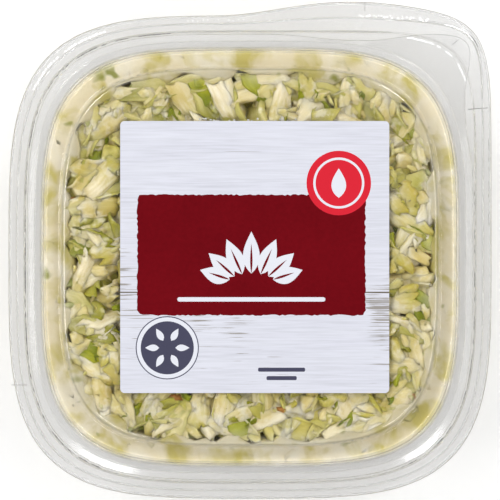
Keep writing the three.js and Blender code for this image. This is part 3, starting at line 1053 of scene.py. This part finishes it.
def heart_material():
    """Dressing and small bits pressed flat where they touch the pack, with painted shade in the
    gaps.
    """
    colours = bpy.context.scene.coleslaw_colours
    material, tree, shader = new_material("salad_heart")
    place = object_place(tree)
    smear = add_node(tree, "ShaderNodeGroup", node_tree=smear_group(),
                     values={"Dressing": (*colours.dressing, 1), "Leaf": (*colours.leaf, 1)})
    # Painted shade: where the heart doesn't touch the sheets, its dark olive stands for the shade
    # in the gaps between the cuts
    painted_gap_shade = mix_colour(tree, map_range(tree, noise(tree, place, 130.0, 3.0), 0.4, 0.62),
                     (0.14, 0.115, 0.003), (0.25, 0.20, 0.008))
    base = mix_colour(tree, attribute(tree, "smear"), painted_gap_shade, smear.outputs["Color"])
    tree.links.new(base, shader.inputs["Base Color"])
    film = add_node(tree, "ShaderNodeGroup", node_tree=dressing_group(), values={"Amount": 0.6})
    bump = add_node(tree, "ShaderNodeBump", values={"Strength": 0.3, "Distance": 0.3 * MM},
                    links={"Height": film.outputs["Height"]})
    tree.links.new(bump.outputs[0], shader.inputs["Normal"])
    rough = map_range(tree, film.outputs["Film"], 0.0, 1.0, 0.4, 0.26)
    tree.links.new(rough, shader.inputs["Roughness"])
    wet_shader(shader, 0.25, 2.0 * MM)
    return material


def sheet_material(name, tone, straight, skin=0.0):
    """Clear glossy sheet, so thin that part of the light goes straight through it."""
    material, tree, shader = new_material(name)
    tint = (tone, tone, tone, 1.0)
    set_values(shader, {
        "Base Color": tint, "Transmission Weight": 1.0, "IOR": 1.58, "Coat Weight": skin,
        "Coat IOR": 1.7, "Coat Roughness": 0.06})
    place = object_place(tree)
    scuff = noise(tree, place, 160.0, 4.0)
    tree.links.new(map_range(tree, scuff, 0.35, 0.75, 0.10, 0.24), shader.inputs["Roughness"])
    wave = noise(tree, place, 70.0, 2.0)
    bump = add_node(tree, "ShaderNodeBump", values={"Strength": 0.12, "Distance": 0.4 * MM},
                    links={"Height": wave})
    tree.links.new(bump.outputs[0], shader.inputs["Normal"])
    path = tree.nodes.new("ShaderNodeLightPath")
    shadow = add_node(tree, "ShaderNodeBsdfTransparent", values={0: (0.975, 0.975, 0.975, 1.0)})
    clear = add_node(tree, "ShaderNodeBsdfTransparent", values={0: tint})
    thin = add_node(tree, "ShaderNodeMixShader", values={0: straight},
                    links={1: shader.outputs[0], 2: clear.outputs[0]})
    mix = add_node(tree, "ShaderNodeMixShader",
                   links={0: path.outputs["Is Shadow Ray"], 1: thin.outputs[0],
                          2: shadow.outputs[0]})
    tree.links.new(mix.outputs[0], tree.nodes["Material Output"].inputs["Surface"])
    return material


def mark_material(name, light, dark, clear, glow=0.0):
    """Colour of a mark, a little uneven: glowing white for a painted glint, dark grey for slits
    and painted shade, whitish and half clear for a drop.
    """
    material, tree, shader = new_material(name)
    place = object_place(tree)
    tone = map_range(tree, noise(tree, place, 700.0, 2.0), 0.35, 0.65)
    tree.links.new(mix_colour(tree, tone, (light,) * 3, (dark,) * 3), shader.inputs["Base Color"])
    set_values(shader, {
        "Roughness": 0.25, "Transmission Weight": clear, "IOR": 1.5, "Emission Color": PURE_WHITE,
        "Emission Strength": glow})
    return material


# Label: materials by number, height of the joint between two boards, and middles in mm
BOARDS, WINE, RED, SLATE, WHITE = range(5)
JOINT_Y = -10.5 * MM
DISC = (25.0, 22.0)
ROUNDEL = (-26.0, -27.0)
PANEL_X = -1.0


def boards_material():
    """Pale painted boards: fine grain along X, a joint and short dark cracks."""
    colours = bpy.context.scene.coleslaw_colours
    material, tree, shader = new_material("printed_boards")
    place = object_place(tree)
    grain = noise(tree, mapped(tree, place, scale=(60.0, 1500.0, 1.0)), 1.0, 4.0, 0.6)
    grain = map_range(tree, grain, 0.35, 0.7)
    broad = noise(tree, mapped(tree, place, scale=(25.0, 260.0, 1.0)), 1.0, 3.0)
    broad = map_range(tree, broad, 0.3, 0.7)
    base = mix_colour(tree, math_node(tree, "MULTIPLY", grain, 0.8), colours.board,
                      (0.64, 0.65, 0.72))
    base = mix_colour(tree, math_node(tree, "MULTIPLY", broad, 0.45), base, (0.88, 0.90, 0.98))
    parts = add_node(tree, "ShaderNodeSeparateXYZ", links={0: place})
    crack_at = mapped(tree, place, scale=(45.0, 2500.0, 1.0), rotation=(0, 0, 0.03))
    crack = noise(tree, crack_at, 1.0, 3.0, 0.6, 0.4)
    worn = map_range(tree, noise(tree, place, 45.0, 2.0), 0.36, 0.62)
    joint = math_node(tree, "ABSOLUTE", math_node(tree, "SUBTRACT", parts.outputs[1], JOINT_Y))
    near = map_range(tree, joint, 6.0 * MM, 34.0 * MM, 1.0, 0.2)
    keen = math_node(tree, "MULTIPLY", worn, math_node(tree, "POWER", near, 1.3))
    least = math_node(tree, "SUBTRACT", 0.76, math_node(tree, "MULTIPLY", keen, 0.29))
    line = math_node(tree, "MULTIPLY", math_node(tree, "SUBTRACT", crack, least), 26.0, True)
    base = mix_colour(tree, math_node(tree, "MULTIPLY", line, 0.75), base, (0.23, 0.19, 0.13))
    seam = map_range(tree, joint, 0.10 * MM, 0.24 * MM, 1.0, 0.0)
    base = mix_colour(tree, seam, base, (0.10, 0.075, 0.03))
    tree.links.new(base, shader.inputs["Base Color"])
    set_values(shader, {"Roughness": 0.5})
    return material


def ink_material(name, colour, fleck=0.0):
    """Plain printed ink on coated paper, a little uneven."""
    material, tree, shader = new_material(name)
    place = object_place(tree)
    soft = noise(tree, place, 900.0, 2.0)
    wide = noise(tree, place, 70.0, 2.0)
    shade = math_node(tree, "ADD", math_node(tree, "MULTIPLY", soft, 0.5),
                      math_node(tree, "MULTIPLY", wide, 0.5))
    factor = map_range(tree, shade, 0.3, 0.7, 0.0, fleck)
    lighter = tuple(min(1.0, c * 1.5 + 0.002) for c in colour)
    tree.links.new(mix_colour(tree, factor, colour, lighter), shader.inputs["Base Color"])
    set_values(shader, {"Roughness": 0.48, "Specular IOR Level": 0.08})
    return material


def circle(x, y, radius, count=48):
    """Points of a circle."""
    return [(x + radius * math.cos(2 * math.pi * i / count),
             y + radius * math.sin(2 * math.pi * i / count)) for i in range(count)]


def rounded_rectangle(x, y, width, height, radius, steps=6):
    """Points of a rectangle with round corners, about its middle."""
    points = []
    for quarter, (sx, sy) in enumerate(((1, 1), (-1, 1), (-1, -1), (1, -1))):
        for step in range(steps + 1):
            angle = 0.5 * math.pi * (quarter + step / steps)
            points.append((x + sx * (0.5 * width - radius) + radius * math.cos(angle),
                           y + sy * (0.5 * height - radius) + radius * math.sin(angle)))
    return points


def rough_rectangle(x, y, width, height, radius, draw, step=0.8, depth=0.32):
    """A rectangle with torn edges, as of worn paint."""
    smooth = rounded_rectangle(x, y, width, height, radius, 3)
    points = []
    for (ax, ay), (bx, by) in zip(smooth, smooth[1:] + smooth[:1]):
        length = math.hypot(bx - ax, by - ay)
        pieces = max(1, round(length / step))
        for i in range(pieces):
            t = i / pieces
            out = depth * draw.uniform(-1, 0.4)
            nx, ny = (by - ay) / length, (ax - bx) / length
            points.append((ax + t * (bx - ax) + out * nx, ay + t * (by - ay) + out * ny))
    return points


def leaf_outline(x, y, length, width, degrees, count=12):
    """A pointed leaf that grows from x, y in a direction."""
    turn = math.radians(degrees)
    points = []
    for side in (1, -1):
        span = range(count) if side == 1 else range(count, 0, -1)
        for i in span:
            t = i / count
            across = side * 0.5 * width * math.sin(math.pi * t ** 0.8)
            along = length * t
            points.append((x + along * math.cos(turn) - across * math.sin(turn),
                           y + along * math.sin(turn) + across * math.cos(turn)))
    return points


def label_fields():
    """The printed fields from bottom to top: outline in mm and number of the material."""
    draw = np.random.default_rng(5)
    fields = [(rough_rectangle(PANEL_X, 0.6, 68.0, 36.0, 1.6, draw), WINE)]
    for spread in range(-72, 73, 24):
        size = 12.5 - 0.045 * abs(spread)
        heading = 90 - spread
        turn = math.radians(heading)
        x, y = PANEL_X + 6.76 * math.cos(turn), -7.5 + 2.6 * math.sin(turn)
        fields.append((leaf_outline(x, y, size, 5.0, heading), WHITE))
        fields.append((leaf_outline(x, y, size * 0.72, 0.7, heading), WINE))
    fields.append((rounded_rectangle(PANEL_X, -12.6, 44.0, 1.3, 0.6, 3), WHITE))
    fields += [(circle(*DISC, radius), ink)
               for radius, ink in ((9.6, RED), (7.6, WHITE), (6.9, RED))]
    fields.append((leaf_outline(DISC[0], DISC[1] - 4.4, 8.8, 4.4, 90), WHITE))
    fields += [(circle(*ROUNDEL, radius), ink)
               for radius, ink in ((9.4, SLATE), (9.1, WHITE), (7.9, SLATE))]
    for heading in range(0, 360, 60):
        x = ROUNDEL[0] + 2.4 * math.cos(math.radians(heading))
        y = ROUNDEL[1] + 2.4 * math.sin(math.radians(heading))
        fields.append((leaf_outline(x, y, 4.2, 2.0, heading, 6), WHITE))
    fields += [(rounded_rectangle(8.0, y, width, 1.2, 0.4, 3), SLATE)
               for y, width in ((-33.5, 14.0), (-36.0, 9.0))]
    return fields


def inside(point, outline):
    """Whether a point lies inside an outline."""
    x, y = point
    hit = False
    for (ax, ay), (bx, by) in zip(outline, outline[1:] + outline[:1]):
        if (ay > y) != (by > y) and x < (bx - ax) * (y - ay) / (by - ay) + ax:
            hit = not hit
    return hit


def label_mesh():
    """A thin sheet whose top is cut into the printed fields."""
    middle = 0.5 * (LABEL_LOW + LABEL_HIGH)
    width, height = ((LABEL_HIGH - LABEL_LOW) / MM).xy
    border = rounded_rectangle(0, 0, width, height, 1.3)
    fields = label_fields()
    points, edges = [], []
    for outline in [border] + [outline for outline, _ in fields]:
        start = len(points)
        points += [Vector(p) for p in outline]
        edges += [(start + i, start + (i + 1) % len(outline)) for i in range(len(outline))]
    flat, _, triangles, *_ = delaunay_2d_cdt(points, edges, [list(range(len(border)))], 1, 1e-5)
    top_z, low_z = LABEL_HIGH.z, LABEL_LOW.z
    place = lambda p, z: (middle.x + p[0] * MM, middle.y + p[1] * MM, z)
    verts = [place(p, top_z) for p in flat]
    inks = []
    for triangle in triangles:
        centre = sum((flat[i] for i in triangle), Vector((0, 0))) / len(triangle)
        inks.append(next((ink for outline, ink in reversed(fields)
                          if inside(centre, outline)), BOARDS))
    faces = [list(t) for t in triangles]
    used = {}
    for face in triangles:
        for a, b in zip(face, list(face[1:]) + [face[0]]):
            used[(a, b)] = used.get((a, b), 0) + 1
    rim = [(a, b) for a, b in used if (b, a) not in used]
    lower = {}
    for a, _ in rim:
        lower[a] = len(verts)
        verts.append(place(flat[a], low_z))
    faces += [[b, a, lower[a], lower[b]] for a, b in rim]
    follow = dict(rim)
    loop = [rim[0][0]]
    while follow[loop[-1]] != loop[0]:
        loop.append(follow[loop[-1]])
    faces.append([lower[a] for a in reversed(loop)])
    obj = closed_object("label", verts, faces, smooth=False)
    inks += [BOARDS] * (len(faces) - len(inks))
    obj.data.polygons.foreach_set("material_index", inks)
    return obj


# Operators

class COLESLAW_OT_tub(bpy.types.Operator):
    """Build the clear tub with its rim and outer ledge"""

    bl_idname = "coleslaw.tub"
    bl_label = "Tub"

    def execute(self, context):
        sizes = context.scene.coleslaw_pack
        half = 0.5 * sizes.tub_sheet
        wall = lambda z: wall_half(z) + half
        seat = SEAT_Z - half
        corners = [
            Corner(0, half),
            Corner(wall(0) - 0.2 * MM, half, sizes.heel),
            Corner(wall(seat), seat, 0.9 * MM),
            Corner(RIM_INNER_HALF, seat, 0.3 * MM, tab=RIM_INNER_TAB),
            Corner(RIM_INNER_HALF + 0.3 * MM, RIM_Z - half, 0.4 * MM, tab=RIM_INNER_TAB, drop=1),
            Corner(RIM_OUTER_HALF - 0.1 * MM, RIM_Z - half, 0.4 * MM, tab=RIM_OUTER_TAB,
                   bulge=0.45, drop=1),
            Corner(RIM_OUTER_HALF + 0.2 * MM, LEDGE_Z - half, 0.2 * MM, tab=RIM_OUTER_TAB,
                   bulge=0.45),
            Corner(FLANGE_HALF - half - 0.5 * MM, LEDGE_Z - half - 0.15 * MM, 0.5 * MM,
                   tab=FLANGE_TAB, bulge=1),
            Corner(FLANGE_HALF - half - 0.05 * MM, LEDGE_Z - 1.7 * MM, 0,
                   tab=FLANGE_TAB, bulge=1),
        ]
        obj = lathe("tub_sheet", thickened(rounded(corners), sizes.tub_sheet))
        flatten_normals(obj.data)
        finish_piece(obj, sheet_material("clear_tub_sheet", 0.88, 0.5), "clear_tub",
                     "tub", "tub_flange")
        return {"FINISHED"}


class COLESLAW_OT_lid(bpy.types.Operator):
    """Build the clear lid with its raised panel, groove and lifting tab"""

    bl_idname = "coleslaw.lid"
    bl_label = "Lid"

    def execute(self, context):
        sheet = context.scene.coleslaw_pack.lid_sheet
        half = 0.5 * sheet
        panel, groove = PANEL_Z - half - 0.02 * MM, GROOVE_Z + half
        edge = SEAT_Z + 0.3 * MM + half
        bead = edge + 0.7 * MM
        corners = [
            Corner(0, panel),
            Corner(PANEL_HALF, panel, 1.7 * MM),
            Corner(PANEL_HALF + 0.9 * MM, groove, 0.7 * MM),
            Corner(OPENING_HALF - 1.0 * MM, groove, 0.7 * MM),
            Corner(OPENING_HALF - 0.4 * MM, bead, 0.6 * MM),
            Corner(LID_HALF - 2.35 * MM, bead, 0.3 * MM),
            Corner(LID_HALF - 2.05 * MM, edge + 0.48 * MM, 0.15 * MM),
            Corner(LID_HALF - 0.16 * MM, edge + 0.03 * MM, 0, tab=LID_TAB, nick=1, rise=1),
            Corner(LID_HALF - 0.02 * MM, edge, 0, tab=LID_TAB, nick=1, rise=1),
        ]
        obj = lathe("lid_sheet", thickened(rounded(corners), sheet))
        flatten_normals(obj.data)
        finish_piece(obj, sheet_material("clear_lid_sheet", 1.0, 0.35, 0.85), "clear_lid", "lid")
        return {"FINISHED"}


class COLESLAW_OT_marks(bpy.types.Operator):
    """Set the knurls with painted glints, the slits, the painted shade along the lid's edge and
    the drops under the lid
    """

    bl_idname = "coleslaw.marks"
    bl_label = "Knurl glints, slits, edge shade and drops"

    def execute(self, context):
        seed = context.scene.coleslaw_salad.seed
        runs = [(along_ring(corner, first, last), *rest) for corner, first, last, *rest in KNURL_GLINTS]
        # The knurls glow white: a painted glint
        glint_paint = mark_material("frosted_knurl", 1.0, 0.92, 0.0, 0.6)
        finish_piece(make_marks("knurls", runs, glint_paint, seed), glint_paint, "clear_tub")
        runs = [(along_ring(corner, first, last), *rest) for corner, first, last, *rest in SLITS_AND_EDGE_SHADE]
        for (x, y), (x_end, y_end) in CUT_LINES:
            line = np.linspace((x, y, LEDGE_Z / MM), (x_end, y_end, LEDGE_Z / MM), 9) * MM
            runs.append((line, 0.5, 1.0, 0.0, (0.9, 0.18, 0.1)))
        # Dark grey marks: slits, and painted shade along the lid's edge
        shaded = mark_material("grey_crease", 0.04, 0.12, 0.0)
        finish_piece(make_marks("creases", runs, shaded, seed), shaded, "clear_lid")
        row_y, under = LABEL_HIGH.y + 0.3 * MM, PANEL_Z - 0.55 * MM
        line = [(x, row_y, under) for x in np.linspace(-15, 15, 31) * MM]
        # The drops are real; their whitish, half clear colour paints their glints
        wet = mark_material("water_drop", 1.0, 0.95, 0.5)
        drops = make_marks("drops", [(line, 1.0, 0.5, 0.5, (0.7, 0.6, 0.3))], wet, seed)
        finish_piece(drops, wet, "clear_lid")
        return {"FINISHED"}


class COLESLAW_OT_label(bpy.types.Operator):
    """Build the printed paper label on the lid"""

    bl_idname = "coleslaw.label"
    bl_label = "Label"

    def execute(self, context):
        colours = context.scene.coleslaw_colours
        inks = [boards_material(),
                ink_material("printed_dark_red", colours.wine, 0.5),
                ink_material("printed_bright_red", colours.red, 0.12),
                ink_material("printed_slate", colours.slate, 0.2),
                ink_material("printed_white", (0.86, 0.88, 0.96), 0.1)]
        finish_piece(label_mesh(), inks, "label_paper", "label")
        return {"FINISHED"}


class COLESLAW_OT_heart(bpy.types.Operator):
    """Build the salad's heart: dressing and small bits that fill the tub"""

    bl_idname = "coleslaw.heart"
    bl_label = "Heart of the salad"

    def execute(self, context):
        seed = context.scene.coleslaw_salad.seed
        draw = np.random.default_rng(seed)
        floor = GROOVE_Z - 0.1 * MM
        corners = [Corner(0, -1 * MM)]
        corners += [Corner(half, -1 * MM) for half in np.linspace(10, 70, 13) * MM]
        corners += [Corner(70 * MM, z) for z in np.linspace(2, 34, 14) * MM]
        corners += [Corner(PANEL_HALF + step, 36 * MM) for step in np.linspace(8, 1.4, 8) * MM]
        corners += [Corner(PANEL_HALF + step, 40 * MM) for step in np.linspace(1.1, -1, 9) * MM]
        corners += [Corner(PANEL_HALF - step * MM, PANEL_Z - drop * MM)
                    for step, drop in ((1.2, 0.9), (1.6, 1.9), (2.1, 3.3), (2.9, 4.8))]
        corners += [Corner(half, floor) for half in np.linspace(50.5, 2, 26) * MM]
        corners += [Corner(0, floor)]
        obj = lathe("salad_heart", corners, 160)
        mesh = obj.data
        points = read_points(mesh)
        half = square_distance(points[:, 0], points[:, 1])
        above = points[:, 2] > TOP_PART_Z
        inner = (half < PANEL_HALF - 1.3 * MM) & above
        waves = [(draw.uniform(250, 700), draw.uniform(0, 6.3), draw.uniform(0, 6.3))
                 for _ in range(6)]
        relief = sum(np.sin(points[:, 0] * k * math.cos(a) + points[:, 1] * k * math.sin(a) + p)
                     for k, a, p in waves)
        bank = smoothstep(half, PANEL_HALF - 6 * MM, PANEL_HALF - 1.3 * MM)
        points[:, 2] += np.where(inner, (0.45 * relief - 0.5 * bank * np.abs(relief)) * MM, 0.0)
        slope = (half > PANEL_HALF - 3.4 * MM) & (half < PANEL_HALF - 0.8 * MM) & above
        angle = np.arctan2(points[:, 1], points[:, 0])
        reach_over = 0.4 + sum(draw.normal(0, 0.45) * np.sin(k * angle + draw.uniform(0, 6.3))
                               for k in (5, 9, 14, 22, 31, 43))
        shrink = np.where(slope, reach_over * (PANEL_HALF - half) / half, 0.0)
        points[:, :2] *= (1 - np.clip(shrink, -0.02, 0.035))[:, None]
        points = press_inside(points, 0.06 * MM, 0.25 * MM)
        mesh.vertices.foreach_set("co", points.ravel())
        smear, _ = touch(points)
        bank_top = smoothstep(points[:, 2], GROOVE_Z + 0.5 * MM, GROOVE_Z + 3.4 * MM)
        store(mesh, "smear", np.maximum(smear, np.where(above, 0.7 * bank_top, 0.0)))
        mesh.update()
        finish_piece(obj, heart_material(), "salad", "coleslaw")
        return {"FINISHED"}


class COLESLAW_OT_cuts(bpy.types.Operator):
    """Strew the cuts of cabbage rib, leaf, green leaf and carrot"""

    bl_idname = "coleslaw.cuts"
    bl_label = "Cuts"

    def execute(self, context):
        colours = context.scene.coleslaw_colours
        make_cuts("rib", cut_material("cabbage_rib", colours.rib, (0.50, 0.39, 0.08), 0.5,
                                      (0.86, 0.79, 0.64), (0.46, 0.41, 0.07)), 1)
        make_cuts("leaf", cut_material("cabbage_leaf", colours.leaf, (0.36, 0.33, 0.035), 0.4,
                                       (0.78, 0.69, 0.38), (0.22, 0.22, 0.005)), 2)
        make_cuts("green", cut_material("green_leaf", colours.green, (0.15, 0.19, 0.002), 0.0,
                                        (0.38, 0.38, 0.02), (0.13, 0.16, 0.002), glow=0.15), 3)
        make_cuts("carrot", cut_material("carrot", colours.carrot, (0.30, 0.12, 0.015), 0.3,
                                         (0.60, 0.36, 0.12), (0.40, 0.17, 0.03), glow=0.2), 4)
        make_cuts("shred", cut_material("cabbage_shred", (0.60, 0.51, 0.15), (0.36, 0.30, 0.04),
                                        0.3, (0.80, 0.71, 0.38), (0.44, 0.40, 0.05)), 5)
        return {"FINISHED"}


class COLESLAW_OT_stage(bpy.types.Operator):
    """Set the white floor, the soft lamps and the camera"""

    bl_idname = "coleslaw.stage"
    bl_label = "Stage"

    def execute(self, context):
        self.floor()
        self.lamps()
        self.camera(context)
        return {"FINISHED"}

    def floor(self):
        size, low = 1.5, -0.02 * MM
        mesh = new_mesh("floor", [(-size, -size, low), (size, -size, low), (size, size, low),
                                  (-size, size, low)], faces=[(0, 1, 2, 3)])
        obj = new_object("floor", mesh)
        material, _, shader = new_material("white_floor")
        set_values(shader, {
            "Base Color": (0.93, 0.93, 0.93, 1.0), "Roughness": 0.8, "Specular IOR Level": 0.1,
            "Emission Color": PURE_WHITE, "Emission Strength": 0.2})
        mesh.materials.append(material)

    def lamps(self):
        world = bpy.data.worlds.new("studio")
        world.use_nodes = True
        tree = world.node_tree
        up = add_node(tree, "ShaderNodeSeparateXYZ",
                      links={0: tree.nodes.new("ShaderNodeTexCoord").outputs["Generated"]})
        light = math_node(tree, "MULTIPLY",
                          map_range(tree, up.outputs[2], 0.87, 0.98, 0.69, 0.03),
                          map_range(tree, up.outputs[2], 0.35, 0.65, 0.3, 1.0))
        set_values(tree.nodes["Background"], {0: PURE_WHITE})
        tree.links.new(light, tree.nodes["Background"].inputs[1])
        bpy.context.scene.world = world
        for name, place, length, height, radiance in (
                ("lamp_left", (-0.66, 0.0, 0.76), 0.34, 0.14, 10.0),
                ("lamp_right", (0.66, 0.0, 0.76), 0.44, 0.16, 4.0),
                ("lamp_back_left", (-0.46, 0.46, 0.72), 0.24, 0.08, 23.0),
                ("lamp_back_right", (0.39, 0.53, 0.72), 0.24, 0.08, 21.0),
                ("lamp_front_left", (-0.27, -0.49, 0.84), 0.26, 0.12, 6.5),
                ("lamp_front_right", (0.36, -0.42, 0.84), 0.22, 0.12, 6.5),
                ("lamp_over_tab", (0.135, 0.135, 1.03), 0.07, 0.07, 2.0)):
            data = bpy.data.lights.new(name, "AREA")
            data.shape = "RECTANGLE"
            data.size, data.size_y = length, height
            data.energy = math.pi * radiance * length * height
            lamp = new_object(name, data)
            lamp.location = place
            aim = Vector((0, 0, 0.02)) - Vector(place)
            lamp.rotation_euler = aim.to_track_quat("-Z", "Y").to_euler()

    def camera(self, context):
        data = bpy.data.cameras.new("camera")
        camera = new_object("camera", data)
        distance, field, film_width = 1.0, 148.7 * MM, 36.0
        middle = 0.5 * (CAD_BOX[0] + CAD_BOX[1])
        camera.location = (0, middle.y + 0.05 * MM, PANEL_Z + distance)
        data.sensor_width = film_width
        data.lens = film_width * distance / field
        data.clip_start = 0.01
        context.scene.camera = camera
        context.scene.view_settings.view_transform = "Standard"


class COLESLAW_PT_panel(bpy.types.Panel):
    """The pack's pieces, sizes and colours"""

    bl_label = "Coleslaw tub"
    bl_idname = "COLESLAW_PT_panel"
    bl_space_type = "VIEW_3D"
    bl_region_type = "UI"
    bl_category = "Coleslaw"

    def draw(self, context):
        for group in (context.scene.coleslaw_pack, context.scene.coleslaw_salad,
                      context.scene.coleslaw_colours):
            box = self.layout.box()
            for name in group.__annotations__:
                box.prop(group, name)
        for operator in STEPS:
            self.layout.operator(operator.bl_idname)


GROUPS = {"coleslaw_pack": PackSizes, "coleslaw_salad": SaladSizes,
          "coleslaw_colours": PackColours}
STEPS = (COLESLAW_OT_tub, COLESLAW_OT_lid, COLESLAW_OT_marks, COLESLAW_OT_label,
         COLESLAW_OT_heart, COLESLAW_OT_cuts, COLESLAW_OT_stage)


def register():
    for group in GROUPS.values():
        bpy.utils.register_class(group)
    for name, group in GROUPS.items():
        setattr(bpy.types.Scene, name, PointerProperty(type=group))
    for step in STEPS:
        bpy.utils.register_class(step)
    bpy.utils.register_class(COLESLAW_PT_panel)


def unregister():
    bpy.utils.unregister_class(COLESLAW_PT_panel)
    for step in reversed(STEPS):
        bpy.utils.unregister_class(step)
    for name, group in GROUPS.items():
        delattr(bpy.types.Scene, name)
        bpy.utils.unregister_class(group)


def main():
    register()
    bpy.ops.coleslaw.tub()
    bpy.ops.coleslaw.lid()
    bpy.ops.coleslaw.marks()
    bpy.ops.coleslaw.label()
    bpy.ops.coleslaw.heart()
    bpy.ops.coleslaw.cuts()
    bpy.ops.coleslaw.stage()


if __name__ == "__main__":
    main()
